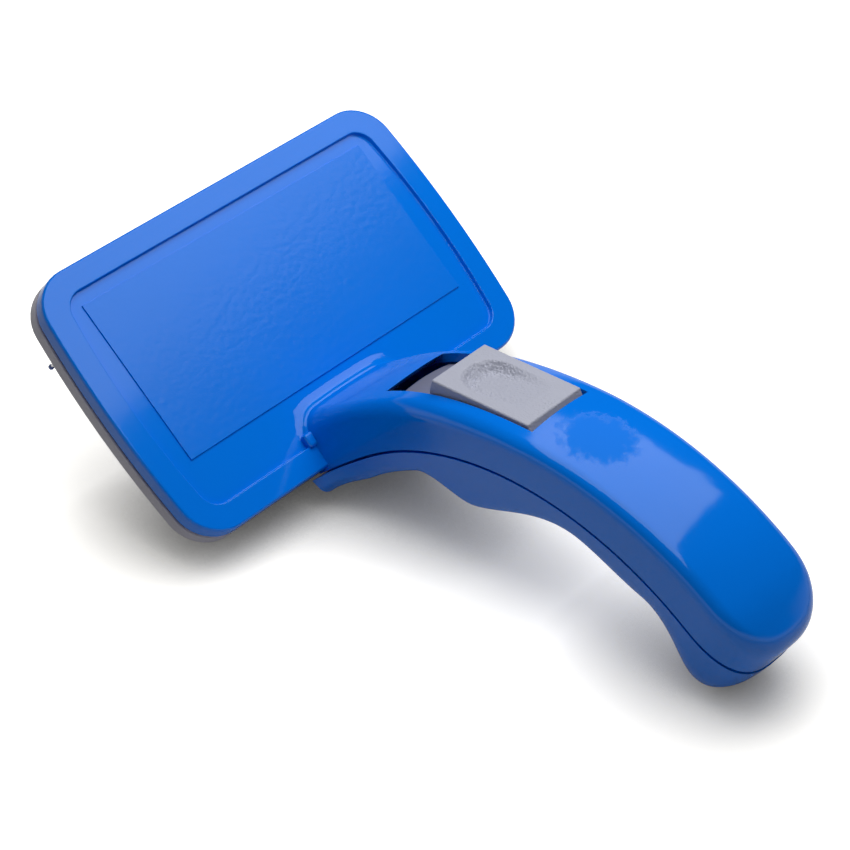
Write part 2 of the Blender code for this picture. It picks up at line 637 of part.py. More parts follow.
def build_pins_and_base():
    """Pin base under the cover, its four screws, and the pins in a slice of their cushion."""
    notch_half_width = LIFTER_FOOT_HALF_WIDTH + SLIDE_FIT
    notch = box("lifter_notch", (-notch_half_width, -HEAD_DEPTH, PIN_TIP),
                (notch_half_width, LIFTER_FOOT_FRONT + SLIDE_FIT, 0))
    notch = guide(notch, "lifter_notch", brush)
    outline = head_outline(BASE_INSET, HEAD_CORNER - BASE_INSET)
    base = place(slab("pin_base", outline, BASE_BOTTOM, BASE_TOP), "pin_base", WHITE, brush)
    combine(base, notch, "DIFFERENCE")
    sockets = [(BOSS_RADIUS + CLEARANCE, (x, y, BASE_BOTTOM - OVERLAP), (x, y, BASE_TOP + OVERLAP))
               for x, y in BASE_SCREW_PLACES]
    combine(base, guide(rods("base_sockets", sockets), "base_sockets", brush), "DIFFERENCE")
    for index, (x, y) in enumerate(BASE_SCREW_PLACES):
        screw(f"base_screw_{index + 1}", WASHER_HEAD_RADIUS, WASHER_HEAD_HEIGHT, BASE_SCREW_REACH, brush,
              (x, y, BASE_BOTTOM - CLEARANCE), math.pi)
    bed = place(slab("pin_bed", outline, BED_BOTTOM, BED_TOP), "pin_bed", RUBBER, brush)
    combine(bed, notch, "DIFFERENCE")
    wells = [(WASHER_HEAD_RADIUS + CLEARANCE, (x, y, BED_BOTTOM - OVERLAP), (x, y, BED_TOP + OVERLAP))
             for x, y in BASE_SCREW_PLACES]
    combine(bed, guide(rods("bed_wells", wells), "bed_wells", brush), "DIFFERENCE")
    pins = guide(prisms("pins", PIN_RADIUS, PIN_TIP, BED_BOTTOM + BED_THICKNESS / 2), "pins", brush)
    combine(bed, pins, "UNION")


def build_stripper_plate():
    """Perforated tray that slides along the pins, with the lifter that drives it."""
    plate = place(slab("stripper_plate", head_outline(0, HEAD_CORNER), PLATE_BOTTOM, PLATE_TOP),
                  "stripper_plate", GREY, plate_guide)
    tray = slab("tray", head_outline(WALL, HEAD_CORNER - WALL), PLATE_FLOOR_TOP, PLATE_TOP + OVERLAP)
    combine(plate, guide(tray, "tray", plate_guide), "DIFFERENCE")
    holes = prisms("pin_holes", PIN_HOLE_RADIUS, PLATE_BOTTOM - OVERLAP, PLATE_FLOOR_TOP + OVERLAP)
    combine(plate, guide(holes, "pin_holes", plate_guide), "DIFFERENCE")
    screw_y = (LIFTER_FOOT_REAR + LIFTER_FOOT_FRONT) / 2
    screw_places = [(sx * LIFTER_SCREW_X, screw_y) for sx in (-1, 1)]
    drilled = [(SHANK_RADIUS + CLEARANCE, (x, y, PLATE_BOTTOM - OVERLAP), (x, y, PLATE_FLOOR_TOP + OVERLAP))
               for x, y in screw_places]
    combine(plate, guide(rods("plate_screw_holes", drilled), "plate_screw_holes", plate_guide), "DIFFERENCE")

    lug = box("lifter", (-LIFTER_HALF_THICKNESS, LIFTER_REAR, LIFTER_WEB),
              (LIFTER_HALF_THICKNESS, LIFTER_FRONT, LIFTER_TOP))
    lifter = place(lug, "lifter", GREY, plate_guide)
    stem = box("lifter_stem", (-LIFTER_HALF_THICKNESS, LIFTER_FOOT_REAR, LIFTER_FOOT_BOTTOM),
               (LIFTER_HALF_THICKNESS, LIFTER_FRONT, LIFTER_WEB + OVERLAP))
    combine(lifter, guide(stem, "lifter_stem", plate_guide), "UNION")
    foot = box("lifter_foot", (-LIFTER_FOOT_HALF_WIDTH, LIFTER_FOOT_REAR, LIFTER_FOOT_BOTTOM),
               (LIFTER_FOOT_HALF_WIDTH, LIFTER_FOOT_FRONT, LIFTER_FOOT_TOP))
    combine(lifter, guide(foot, "lifter_foot", plate_guide), "UNION")
    groove = box("lifter_groove",
                 (-2 * LIFTER_HALF_THICKNESS, LIFTER_REAR - OVERLAP, DRIVE_PIN_Z - DRIVE_PIN_ROOM),
                 (2 * LIFTER_HALF_THICKNESS, LIFTER_FRONT - LIFTER_END_WALL, DRIVE_PIN_Z + DRIVE_PIN_ROOM))
    combine(lifter, guide(groove, "lifter_groove", plate_guide), "DIFFERENCE")
    tapped = [(SHANK_RADIUS + CLEARANCE, (x, y, LIFTER_FOOT_BOTTOM - OVERLAP),
               (x, y, LIFTER_FOOT_TOP + OVERLAP)) for x, y in screw_places]
    combine(lifter, guide(rods("lifter_taps", tapped), "lifter_taps", plate_guide), "DIFFERENCE")
    for side, (x, y) in zip(("left", "right"), screw_places):
        screw(f"lifter_screw_{side}", HEAD_RADIUS, WASHER_HEAD_HEIGHT, LIFTER_SCREW_REACH, plate_guide,
              (x, y, PLATE_BOTTOM - CLEARANCE), math.pi)


def fork_height():
    """Height at which the tongue's middle plane passes over the drive pin."""
    middle = TRACK @ Vector((0, 0, (TONGUE_LOW + TONGUE_TOP) / 2))
    return middle.z - (DRIVE_PIN_Y - middle.y) / math.tan(math.radians(TRACK_ANGLE))


def build_thumb_slide():
    """Wedge button with a thumb dish, on a tongue with a spring lug and a fork for the drive pin."""
    bm = bmesh.new()
    corners = add_box(bm, (-BUTTON_WIDTH / 2, BUTTON_REAR, TONGUE_TOP - OVERLAP),
                      (BUTTON_WIDTH / 2, BUTTON_FRONT, BUTTON_FRONT_TOP))
    for corner in corners:
        if corner.co.z > TONGUE_TOP and corner.co.y < 0:
            corner.co.z = BUTTON_REAR_TOP
    rounded = [edge for edge in bm.edges if max(v.co.z for v in edge.verts) > TONGUE_TOP]
    bmesh.ops.bevel(bm, geom=rounded, offset=BUTTON_ROUND, segments=2, affect="EDGES", profile=0.5)
    button = place(finish_mesh(bm, "thumb_slide"), "thumb_slide", GREY, track)

    slope = math.atan2(BUTTON_FRONT_TOP - BUTTON_REAR_TOP, BUTTON_LENGTH)
    middle = Vector((0, (BUTTON_REAR + BUTTON_FRONT) / 2, (BUTTON_REAR_TOP + BUTTON_FRONT_TOP) / 2))
    bm = bmesh.new()
    bmesh.ops.create_uvsphere(bm, u_segments=16, v_segments=10, radius=1.0)
    bmesh.ops.scale(bm, verts=bm.verts, vec=(DISH_HALF_WIDTH, DISH_HALF_LENGTH, DISH_DEPTH))
    bmesh.ops.rotate(bm, verts=bm.verts, cent=(0, 0, 0), matrix=Matrix.Rotation(slope, 3, "X"))
    bmesh.ops.translate(bm, verts=bm.verts, vec=middle)
    combine(button, guide(finish_mesh(bm, "thumb_dish"), "thumb_dish", track), "DIFFERENCE")

    fork_root = TRACK.inverted() @ Vector((0, DRIVE_PIN_Y, fork_height()))
    for name, half_width, front in (("tongue", TONGUE_HALF_WIDTH, fork_root.y - TONGUE_NOSE_LENGTH),
                                    ("tongue_nose", TONGUE_NOSE_HALF_WIDTH, fork_root.y)):
        plank = box(name, (-half_width, BUTTON_REAR, TONGUE_LOW), (half_width, front, TONGUE_TOP))
        combine(button, guide(plank, name, track), "UNION")
    lug = box("spring_lug", (-SEAT_HALF_WIDTH, BUTTON_REAR, SPRING_AXIS - SPRING_RADIUS),
              (SEAT_HALF_WIDTH, LUG_FRONT, TONGUE_LOW + OVERLAP))
    combine(button, guide(lug, "spring_lug", track), "UNION")
    nub = rods("lug_nub", [(SPRING_NUB_RADIUS, (0, LUG_FRONT - OVERLAP, SPRING_AXIS),
                            (0, LUG_FRONT + SPRING_NUB_LENGTH, SPRING_AXIS))])
    combine(button, guide(nub, "lug_nub", track), "UNION")

    cheek = LIFTER_HALF_THICKNESS + CLEARANCE
    for side in (-1, 1):
        near = side * cheek
        far = side * (cheek + FORK_THICKNESS)
        arm = box("fork_arm", (min(near, far), DRIVE_PIN_Y - FORK_HALF_DEPTH, DRIVE_PIN_Z - FORK_HALF_DEPTH),
                  (max(near, far), DRIVE_PIN_Y + FORK_HALF_DEPTH, fork_height()))
        arm.transform(TRACK.inverted())
        combine(button, guide(arm, "fork_arm", track), "UNION")
    eye_reach = cheek + FORK_THICKNESS + OVERLAP
    eye = rods("fork_eye", [(DRIVE_PIN_ROOM, (-eye_reach, DRIVE_PIN_Y, DRIVE_PIN_Z),
                             (eye_reach, DRIVE_PIN_Y, DRIVE_PIN_Z))])
    eye.transform(TRACK.inverted())
    combine(button, guide(eye, "fork_eye", track), "DIFFERENCE")
    pin_reach = cheek + FORK_THICKNESS
    pin = rods("drive_pin", [(DRIVE_PIN_RADIUS, (-pin_reach, DRIVE_PIN_Y, DRIVE_PIN_Z),
                              (pin_reach, DRIVE_PIN_Y, DRIVE_PIN_Z))])
    pin.transform(TRACK.inverted())
    place(pin, "drive_pin", STEEL, track)


def build_return_spring():
    """Compression spring between the slide's lug and the seat in the lower shell."""
    curve = bpy.data.curves.new("return_spring", "CURVE")
    curve.dimensions = "3D"
    curve.bevel_depth = SPRING_WIRE
    curve.bevel_resolution = 1
    curve.use_fill_caps = True
    spline = curve.splines.new("POLY")
    count = SPRING_TURNS * SPRING_POINTS_PER_TURN + 1
    spline.points.add(count - 1)
    run = SPRING_LENGTH - 2 * SPRING_WIRE
    for index, point in enumerate(spline.points):
        turn = 2 * math.pi * index / SPRING_POINTS_PER_TURN
        y = SPRING_REAR + SPRING_WIRE + run * index / (count - 1)
        point.co = (SPRING_RADIUS * math.cos(turn), y, SPRING_AXIS + SPRING_RADIUS * math.sin(turn), 1)
    spring = bpy.data.objects.new("return_spring", curve)
    curve.materials.append(STEEL)
    spring.parent = track
    parts.objects.link(spring)
    print("gap between the spring's turns, mm:", round((run / SPRING_TURNS - 2 * SPRING_WIRE) / MM, 2))


def stand_on_table():
    """Tilt the brush until its near pins and its tail share one level, and stand it on the origin."""
    near_tip = Vector((0, NEAR_EDGE + PIN_EDGE_MARGIN, PIN_TIP))
    end = TAIL_END - TAIL_OVERHANG
    belly = []
    for angle in stations(angle_at_height(-LOWER_FRONT), end - TAIL_CUT):
        depth = max(-r for _, r in lower_section(angle, 0, end))
        belly.append(shell_point(angle, -depth, 0))
    tilt = min(math.atan2(p.z - near_tip.z, near_tip.y - p.y) for p in belly)
    brush.rotation_euler = (tilt, 0, 0)
    bpy.context.view_layer.update()
    graph = bpy.context.evaluated_depsgraph_get()
    low = Vector((math.inf, math.inf, math.inf))
    high = -low
    for piece in parts.objects:
        if piece.type == "EMPTY":
            continue
        seen = piece.evaluated_get(graph)
        for vertex in seen.to_mesh().vertices:
            point = seen.matrix_world @ vertex.co
            low = Vector(map(min, low, point))
            high = Vector(map(max, high, point))
        seen.to_mesh_clear()
    brush.location = (-(low.x + high.x) / 2, -(low.y + high.y) / 2, -low.z)
    bpy.context.view_layer.update()
    print("tilt, degrees:", round(math.degrees(tilt), 3))
    print("size, mm:", [round(v / MM, 2) for v in high - low])
    print("head frame at, mm:", [round(v / MM, 3) for v in brush.location])


build_upper_shell()
build_lower_shell()
build_pins_and_base()
build_stripper_plate()
build_thumb_slide()
build_return_spring()
stand_on_table()

slide_axis = (track.matrix_world.to_3x3() @ Vector((0, 1, 0))).normalized()
plate_axis = (plate_guide.matrix_world.to_3x3() @ Vector((0, 0, -1))).normalized()
panel_point = brush.matrix_world @ Vector((0, PANEL_SHIFT, -RECESS_DEPTH + PANEL_RISE))
print("pins:", len(pin_places()))
print("slide axis:", [round(v, 6) for v in slide_axis], "travel:", SLIDE_TRAVEL)
print("plate axis:", [round(v, 6) for v in plate_axis], "stroke:", round(PLATE_STROKE, 6))
print("panel point:", [round(v, 6) for v in panel_point])
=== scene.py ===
# %% [markdown]
# # A self-cleaning slicker brush, dressed for its portrait
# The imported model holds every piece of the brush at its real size, as plain triangles. This lesson puts a
# fine skin over the pieces that show: a moulded cover with an arched handle, a grey thumb slide, a
# perforated plate and three hundred ball-tipped pins. Each step says what the piece is on the real brush,
# how it could be made, and why this way was chosen.

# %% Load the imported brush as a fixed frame
import json
import math

import bmesh
import bpy
from mathutils import Matrix, Vector, noise


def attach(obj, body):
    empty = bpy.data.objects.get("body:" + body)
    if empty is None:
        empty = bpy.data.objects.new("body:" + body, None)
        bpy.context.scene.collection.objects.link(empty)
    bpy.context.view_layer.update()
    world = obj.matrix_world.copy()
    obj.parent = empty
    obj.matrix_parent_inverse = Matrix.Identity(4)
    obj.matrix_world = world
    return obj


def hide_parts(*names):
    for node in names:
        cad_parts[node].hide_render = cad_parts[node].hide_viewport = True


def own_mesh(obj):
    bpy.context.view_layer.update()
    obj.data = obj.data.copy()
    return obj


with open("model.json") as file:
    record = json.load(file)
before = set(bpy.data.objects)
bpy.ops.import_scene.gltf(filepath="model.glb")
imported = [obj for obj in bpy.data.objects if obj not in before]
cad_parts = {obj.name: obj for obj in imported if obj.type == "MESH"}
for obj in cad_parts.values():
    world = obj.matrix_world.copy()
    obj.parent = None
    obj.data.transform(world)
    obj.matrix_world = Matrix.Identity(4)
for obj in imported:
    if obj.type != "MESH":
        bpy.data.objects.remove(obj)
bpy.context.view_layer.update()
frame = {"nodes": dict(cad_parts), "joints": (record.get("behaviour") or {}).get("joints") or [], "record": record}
scene = bpy.context.scene
MM = 0.001
joints = {joint["name"]: joint for joint in frame["joints"]}
mounts = {mount["name"]: mount for mount in frame["record"]["mounts"]}
print("nodes:", len(frame["nodes"]), "joints:", sorted(joints))

# %% [markdown]
# ## The head's own frame
# The brush lies tilted, on its near pins and on the tail of its handle. Drawing it tilted would make every
# size a sum of sines, so each piece is drawn flat instead: X across the head, Y away from the handle, Z out
# of its back, with the rim's top at zero. One matrix, read from the plate's axis and the back panel's
# mount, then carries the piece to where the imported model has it.

# %% Find the head's frame
PANEL_SHIFT = 4 * MM
PANEL_RISE = 0.35 * MM
RECESS_DEPTH = 1.0 * MM
plate_axis = Vector(joints["stripper_plate_push"]["axis"])
SLIDE_TRAVEL = joints["thumb_slide_push"]["range_m"][1]
TILT = math.atan2(plate_axis.y, -plate_axis.z)
panel_point = Vector(mounts["back_panel"]["pos_m"])
HEAD = (Matrix.Translation(panel_point) @ Matrix.Rotation(TILT, 4, "X")
        @ Matrix.Translation((0, -PANEL_SHIFT, RECESS_DEPTH - PANEL_RISE)))
print("tilt, degrees:", round(math.degrees(TILT), 2))

# %% [markdown]
# ## The camera
# The photograph was taken from above and to the left of the handle with a long lens. Matching the corners
# of the back panel gives where the camera stood and where it looked. It has no roll, so aiming its -Z at
# a point and keeping its Y upwards is enough.

# %% Set the camera
CAMERA_PLACE = Vector((-311.9, -269.8, 351.0)) * MM
CAMERA_AIM = Vector((2.85, 13.6, 16.0)) * MM
CAMERA_LENS = 110.96
camera_data = bpy.data.cameras.new("photo_camera")
camera_data.lens = CAMERA_LENS
camera_data.clip_start = 0.01
camera = bpy.data.objects.new("photo_camera", camera_data)
camera.location = CAMERA_PLACE
camera.rotation_euler = (CAMERA_AIM - CAMERA_PLACE).to_track_quat("-Z", "Y").to_euler()
scene.collection.objects.link(camera)
scene.camera = camera
print("camera distance, mm:", round((CAMERA_AIM - CAMERA_PLACE).length / MM))

# %% [markdown]
# ## The table and the light
# The brush was lit by one wide soft box overhead, a little to the right and behind, in a dim room: its
# reflection is the pale patch on the handle, and the rest of the plastic mirrors next to nothing. One
# large area lamp does the same. The table is white. It glows brighter to the camera than its own shade,
# so that it runs out to plain white. Its glow and its colour are darkened by an ambient-occlusion mask where
# the brush stands close over it: painted shade, deepest where the brush touches it.

# %% Helpers for node trees
def add_node(tree, kind, sockets, **settings):
    """Add a node with its properties, and give its inputs their values or links."""
    made = tree.nodes.new("ShaderNode" + kind)
    for name, value in settings.items():
        setattr(made, name, value)
    for socket, value in sockets.items():
        if isinstance(value, bpy.types.NodeSocket):
            tree.links.new(value, made.inputs[socket])
        else:
            made.inputs[socket].default_value = value
    return made


def math_node(tree, operation, *values, clamp=False):
    """The result of a Math node on values or links."""
    made = add_node(tree, "Math", dict(enumerate(values)), operation=operation, use_clamp=clamp)
    return made.outputs[0]


def ramp(tree, value, span, start=0.0, end=1.0, **settings):
    """The result of a Map Range node, which goes from start to end as a value crosses a span."""
    sockets = {"Value": value, "From Min": span[0], "From Max": span[1], "To Min": start, "To Max": end}
    return add_node(tree, "MapRange", sockets, **settings).outputs[0]


def seen_rays(tree, mirrored_share):
    """1 for rays from the camera, a share for mirrors and glass, 0 for light that bounces about."""
    path = add_node(tree, "LightPath", {})
    total = path.outputs["Is Camera Ray"]
    for name in ("Is Glossy Ray", "Is Transmission Ray"):
        total = math_node(tree, "MULTIPLY_ADD", path.outputs[name], mirrored_share, total)
    return total


# %% Lay the table
TABLE_HALF_SIZE = 6.0
TABLE_COLOUR = (0.80, 0.79, 0.76)
TABLE_LIFT = 0.86
MIRRORED_SHARE = 0.35
LIFT_COLOUR = (1.0, 0.99, 0.965, 1.0)
FAR_LIFT = 1.0
LIFT_SPREAD = (0.15, 0.6)
PAINTED_SHADE_REACH = 0.026
PAINTED_SHADE_POWER = 1.7
bm = bmesh.new()
bmesh.ops.create_grid(bm, x_segments=1, y_segments=1, size=TABLE_HALF_SIZE)
table_mesh = bpy.data.meshes.new("table")
bm.to_mesh(table_mesh)
bm.free()
table = bpy.data.objects.new("table", table_mesh)
scene.collection.objects.link(table)
print("table half size, m:", TABLE_HALF_SIZE)

# %% Paint the table
table_paint = bpy.data.materials.new("white_table")
table_paint.use_nodes = True
tree = table_paint.node_tree
tree.nodes.clear()
spot = add_node(tree, "TexCoord", {})
distance = add_node(tree, "VectorMath", {0: spot.outputs["Object"]}, operation="LENGTH")
lift = ramp(tree, distance.outputs["Value"], LIFT_SPREAD, TABLE_LIFT, FAR_LIFT)
# Painted shade: an ambient-occlusion mask darkens the table's glow and its colour near the brush.
painted_contact_shade = add_node(tree, "AmbientOcclusion", {"Distance": PAINTED_SHADE_REACH})
deepened_painted_shade = math_node(tree, "POWER", painted_contact_shade.outputs["AO"], PAINTED_SHADE_POWER)
glow_with_painted_shade = math_node(tree, "MULTIPLY", deepened_painted_shade, lift)
strength = math_node(tree, "MULTIPLY", glow_with_painted_shade, seen_rays(tree, MIRRORED_SHARE))
table_colour_with_painted_shade = add_node(tree, "VectorMath", {0: TABLE_COLOUR, "Scale": painted_contact_shade.outputs["AO"]}, operation="SCALE")
matte = add_node(tree, "BsdfDiffuse", {"Color": table_colour_with_painted_shade.outputs[0]})
glow = add_node(tree, "Emission", {"Color": LIFT_COLOUR, "Strength": strength})
both = add_node(tree, "AddShader", {0: matte.outputs[0], 1: glow.outputs[0]})
add_node(tree, "OutputMaterial", {"Surface": both.outputs[0]})
table_mesh.materials.append(table_paint)
print("table paint:", table_paint.name)

# %% Hang the soft box
SOFT_BOX_PLACE = Vector((0.093, 0.0126, 0.33))
SOFT_BOX_SIZE = (0.445, 0.33)
SOFT_BOX_TURN = math.radians(12)
SOFT_BOX_POWER = 1.45
soft_box = bpy.data.lights.new("soft_box", "AREA")
soft_box.shape = "RECTANGLE"
soft_box.size, soft_box.size_y = SOFT_BOX_SIZE
soft_box.energy = SOFT_BOX_POWER
lamp = bpy.data.objects.new("soft_box", soft_box)
lamp.location = SOFT_BOX_PLACE
lamp.rotation_euler = (0, 0, SOFT_BOX_TURN)
scene.collection.objects.link(lamp)
print("soft box, m:", SOFT_BOX_SIZE, "power, W:", SOFT_BOX_POWER)

# %% Dim the room, and let its horizon show white
ROOM_STRENGTH = 0.03
HORIZON_STRENGTH = 1.0
HORIZON_RISE = (0.18, 0.32)
WHITE = (1.0, 1.0, 1.0, 1.0)
world = bpy.data.worlds.new("dim_room")
world.use_nodes = True
tree = world.node_tree
direction = add_node(tree, "TexCoord", {})
upwards = add_node(tree, "SeparateXYZ", {0: direction.outputs["Generated"]})
horizon = ramp(tree, upwards.outputs["Z"], HORIZON_RISE, HORIZON_STRENGTH - ROOM_STRENGTH, 0.0)
brightness = math_node(tree, "MULTIPLY_ADD", horizon, seen_rays(tree, 1.0), ROOM_STRENGTH)
room = tree.nodes["Background"]
room.inputs["Color"].default_value = WHITE
tree.links.new(brightness, room.inputs["Strength"])
scene.world = world
scene.view_settings.view_transform = "Standard"
print("room strength:", ROOM_STRENGTH)

# %% [markdown]
# ## Shared effects for the finishes
# Moulded plastic is never one flat colour. Its tone drifts a little, its skin has a fine grain from the
# mould and slow waves where it shrank, handling leaves hairline scratches, and a palm rubs a spot dull.
# Each effect is a node group that is built once, so every material can place it with its own values.

# %% Start a group
FLOAT = "NodeSocketFloat"
COLOUR = "NodeSocketColor"
VECTOR = "NodeSocketVector"


def new_group(name, inputs, output, kind):
    """An empty shader group with named inputs and one output, and the sockets at both ends."""
    group = bpy.data.node_groups.new(name, "ShaderNodeTree")
    for socket, socket_kind in inputs.items():
        group.interface.new_socket(socket, in_out="INPUT", socket_type=socket_kind)
    group.interface.new_socket(output, in_out="OUTPUT", socket_type=kind)
    print("group:", name)
    return group, group.nodes.new("NodeGroupInput").outputs, group.nodes.new("NodeGroupOutput").inputs[0]


# %% Tone drift: a colour that wanders a little from place to place
tone_drift, given, result = new_group(
    "tone_drift", {"Vector": VECTOR, "Colour": COLOUR, "Scale": FLOAT, "Amount": FLOAT}, "Colour", COLOUR)
cloud = add_node(tone_drift, "TexNoise", {"Vector": given["Vector"], "Scale": given["Scale"], "Detail": 3.0})
centred = math_node(tone_drift, "SUBTRACT", cloud.outputs["Fac"], 0.5)
gain = math_node(tone_drift, "MULTIPLY_ADD", centred, given["Amount"], 1.0)
toned = add_node(tone_drift, "VectorMath", {0: given["Colour"], "Scale": gain}, operation="SCALE")
tone_drift.links.new(toned.outputs[0], result)

# %% Mould grain: the fine pitted skin that a spark-eroded mould leaves
mould_grain, given, result = new_group("mould_grain", {"Vector": VECTOR, "Scale": FLOAT}, "Height", FLOAT)
spread = {"Vector": given["Vector"], "Scale": given["Scale"]}
pits = add_node(mould_grain, "TexNoise", spread | {"Detail": 2.0, "Roughness": 0.6})
cells = add_node(mould_grain, "TexVoronoi", spread, feature="SMOOTH_F1")
mixed = math_node(mould_grain, "ADD", pits.outputs["Fac"], cells.outputs["Distance"])
mould_grain.links.new(mixed, result)

# %% Sink waves: slow hollows and swells, which bend the edge of a reflection
sink_waves, given, result = new_group("sink_waves", {"Vector": VECTOR, "Scale": FLOAT}, "Height", FLOAT)
swell = add_node(sink_waves, "TexNoise", {"Vector": given["Vector"], "Scale": given["Scale"],
                                          "Detail": 1.5, "Roughness": 0.4})
sink_waves.links.new(swell.outputs["Fac"], result)

# %% Handling marks: sparse hairline scratches along one direction
HAIR_TURN = 0.6
HAIR_STRETCH = (1800.0, 60.0, 900.0)
HAIR_EDGE = (0.68, 0.74)
PATCH_SCALE = 55.0
PATCH_EDGE = (0.5, 0.65)
handling_marks, given, result = new_group(
    "handling_marks", {"Vector": VECTOR, "Turn": FLOAT, "Density": FLOAT}, "Mask", FLOAT)
turned = add_node(handling_marks, "VectorRotate", {"Vector": given["Vector"], "Angle": given["Turn"]},
                  rotation_type="Z_AXIS")
drawn_out = add_node(handling_marks, "VectorMath", {0: turned.outputs[0], 1: HAIR_STRETCH},
                     operation="MULTIPLY")
hairs = add_node(handling_marks, "TexNoise", {"Vector": drawn_out.outputs[0], "Scale": 1.0})
sharp = ramp(handling_marks, hairs.outputs["Fac"], HAIR_EDGE)
patches = add_node(handling_marks, "TexNoise", {"Vector": given["Vector"], "Scale": PATCH_SCALE})
patchy = ramp(handling_marks, patches.outputs["Fac"], PATCH_EDGE)
sparse = math_node(handling_marks, "MULTIPLY", sharp, patchy)
handling_marks.links.new(math_node(handling_marks, "MULTIPLY", sparse, given["Density"]), result)

# %% Palm rub: a spot that the palm has worn dull, with a ragged edge
RAGGEDNESS = 1.3
RAGGED_SCALE = 520.0
RUB_EDGE = (1.35, 1.75)
palm_rub, given, result = new_group(
    "palm_rub", {"Vector": VECTOR, "Centre": VECTOR, "Reach": VECTOR}, "Mask", FLOAT)
away = add_node(palm_rub, "VectorMath", {0: given["Vector"], 1: given["Centre"]}, operation="SUBTRACT")
share = add_node(palm_rub, "VectorMath", {0: away.outputs[0], 1: given["Reach"]}, operation="DIVIDE")
span = add_node(palm_rub, "VectorMath", {0: share.outputs[0]}, operation="LENGTH")
ragged = add_node(palm_rub, "TexNoise", {"Vector": given["Vector"], "Scale": RAGGED_SCALE, "Detail": 6.0,
                                         "Roughness": 0.65})
edged = math_node(palm_rub, "MULTIPLY_ADD", ragged.outputs["Fac"], RAGGEDNESS, span.outputs["Value"])
worn = ramp(palm_rub, edged, RUB_EDGE, 1.0, 0.0, interpolation_type="SMOOTHSTEP")
palm_rub.links.new(worn, result)

# %% [markdown]
# ## The finishes
# The blue shells are glossy, the back panel is the same plastic with a fine grain, the slide and the plate
# are matte grey. A finish is one Principled shader: the groups feed its colour, roughness and bump, and
# numbers that are the same all over sit on the shader itself.

# %% A moulded plastic, whose gloss and grain are given
DRIFT_SCALE = 40.0
DRIFT_AMOUNT = 0.08
WAVE_SCALE = 110.0
MARK_PALENESS = 0.3
PALE_MARK = (0.15, 0.36, 0.82, 1.0)
RUB_ROUGHNESS = 0.75
RUB_MARKS = 0.7


def plastic(name, colour, roughness, grain, marks=0.0, waves=0.0, gloss=0.5, rub=None):
    """A moulded plastic with drifting tone, grain of a scale and a height, slow waves and hairline marks."""
    made = bpy.data.materials.new(name)
    made.use_nodes = True
    tree = made.node_tree
    shader = tree.nodes["Principled BSDF"]
    shader.inputs["Specular IOR Level"].default_value = gloss
    place = add_node(tree, "TexCoord", {}).outputs["Object"]
    tone = add_node(tree, "Group", {"Vector": place, "Colour": (*colour, 1.0), "Scale": DRIFT_SCALE,
                                    "Amount": DRIFT_AMOUNT}, node_tree=tone_drift)
    density = marks
    if rub:
        centre, reach = rub
        palm = add_node(tree, "Group", {"Vector": place, "Centre": centre, "Reach": reach},
                        node_tree=palm_rub)
        roughness = math_node(tree, "MULTIPLY_ADD", palm.outputs["Mask"], RUB_ROUGHNESS, roughness)
        density = math_node(tree, "MULTIPLY_ADD", palm.outputs["Mask"], RUB_MARKS, marks)
    wear = add_node(tree, "Group", {"Vector": place, "Turn": HAIR_TURN, "Density": density},
                    node_tree=handling_marks).outputs["Mask"]
    faded = math_node(tree, "MULTIPLY", wear, MARK_PALENESS, clamp=True)
    marked = add_node(tree, "MixRGB", {"Fac": faded, "Color1": tone.outputs["Colour"], "Color2": PALE_MARK})
    tree.links.new(marked.outputs[0], shader.inputs["Base Color"])
    tree.links.new(math_node(tree, "ADD", wear, roughness, clamp=True), shader.inputs["Roughness"])
    bump = None
    for effect, (scale, height) in ((sink_waves, (WAVE_SCALE, waves)), (mould_grain, grain)):
        if height == 0:
            continue
        relief = add_node(tree, "Group", {"Vector": place, "Scale": scale}, node_tree=effect)
        below = {"Normal": bump.outputs["Normal"]} if bump else {}
        bump = add_node(tree, "Bump", below | {"Strength": 1.0, "Distance": height,
                                               "Height": relief.outputs["Height"]})
    tree.links.new(bump.outputs["Normal"], shader.inputs["Normal"])
    return made


# %% Mix the plastics
BLUE = (0.0, 0.178, 0.780)
SHELL_ROUGHNESS = 0.09
SHELL_GRAIN = (700.0, 0.002 * MM)
SHELL_GLOSS = 0.27
PALM_RUB = (Vector((-1.4, -34.6, 40.6)) * MM, Vector((7.2, 8.0, 8.0)) * MM)
blue_gloss = plastic("blue_gloss_plastic", BLUE, SHELL_ROUGHNESS, SHELL_GRAIN, waves=0.015 * MM,
                     gloss=SHELL_GLOSS)
blue_grip = plastic("blue_grip_plastic", BLUE, SHELL_ROUGHNESS, SHELL_GRAIN, marks=0.06, waves=0.12 * MM,
                    gloss=SHELL_GLOSS, rub=PALM_RUB)
blue_panel = plastic("blue_grained_panel", BLUE, roughness=0.20, grain=(800.0, 0.02 * MM),
                     gloss=SHELL_GLOSS)
# The strip's grey is darker and bluer than the slide's: grey plastic with painted shade from the slot's walls.
strip_grey_with_painted_shade = plastic("strip_plastic_with_painted_shade", (0.17, 0.18, 0.26), roughness=0.55, grain=(2600.0, 0.02 * MM))
slide_matte = plastic("slide_matte_plastic", (0.40, 0.415, 0.50), roughness=0.55,
                      grain=(2400.0, 0.06 * MM))
plate_satin = plastic("plate_satin_plastic", (0.38, 0.375, 0.46), roughness=0.42,
                      grain=(2000.0, 0.01 * MM))
base_white = plastic("white_base_plastic", (0.72, 0.72, 0.70), roughness=0.45, grain=(1500.0, 0.01 * MM))
cushion_rubber = plastic("cushion_rubber", (0.10, 0.11, 0.13), roughness=0.7, grain=(1200.0, 0.03 * MM))
tip_blue = plastic("pin_tip_plastic", (0.12, 0.20, 0.55), roughness=0.3, grain=(1500.0, 0.004 * MM))
print("materials so far:", len(bpy.data.materials))

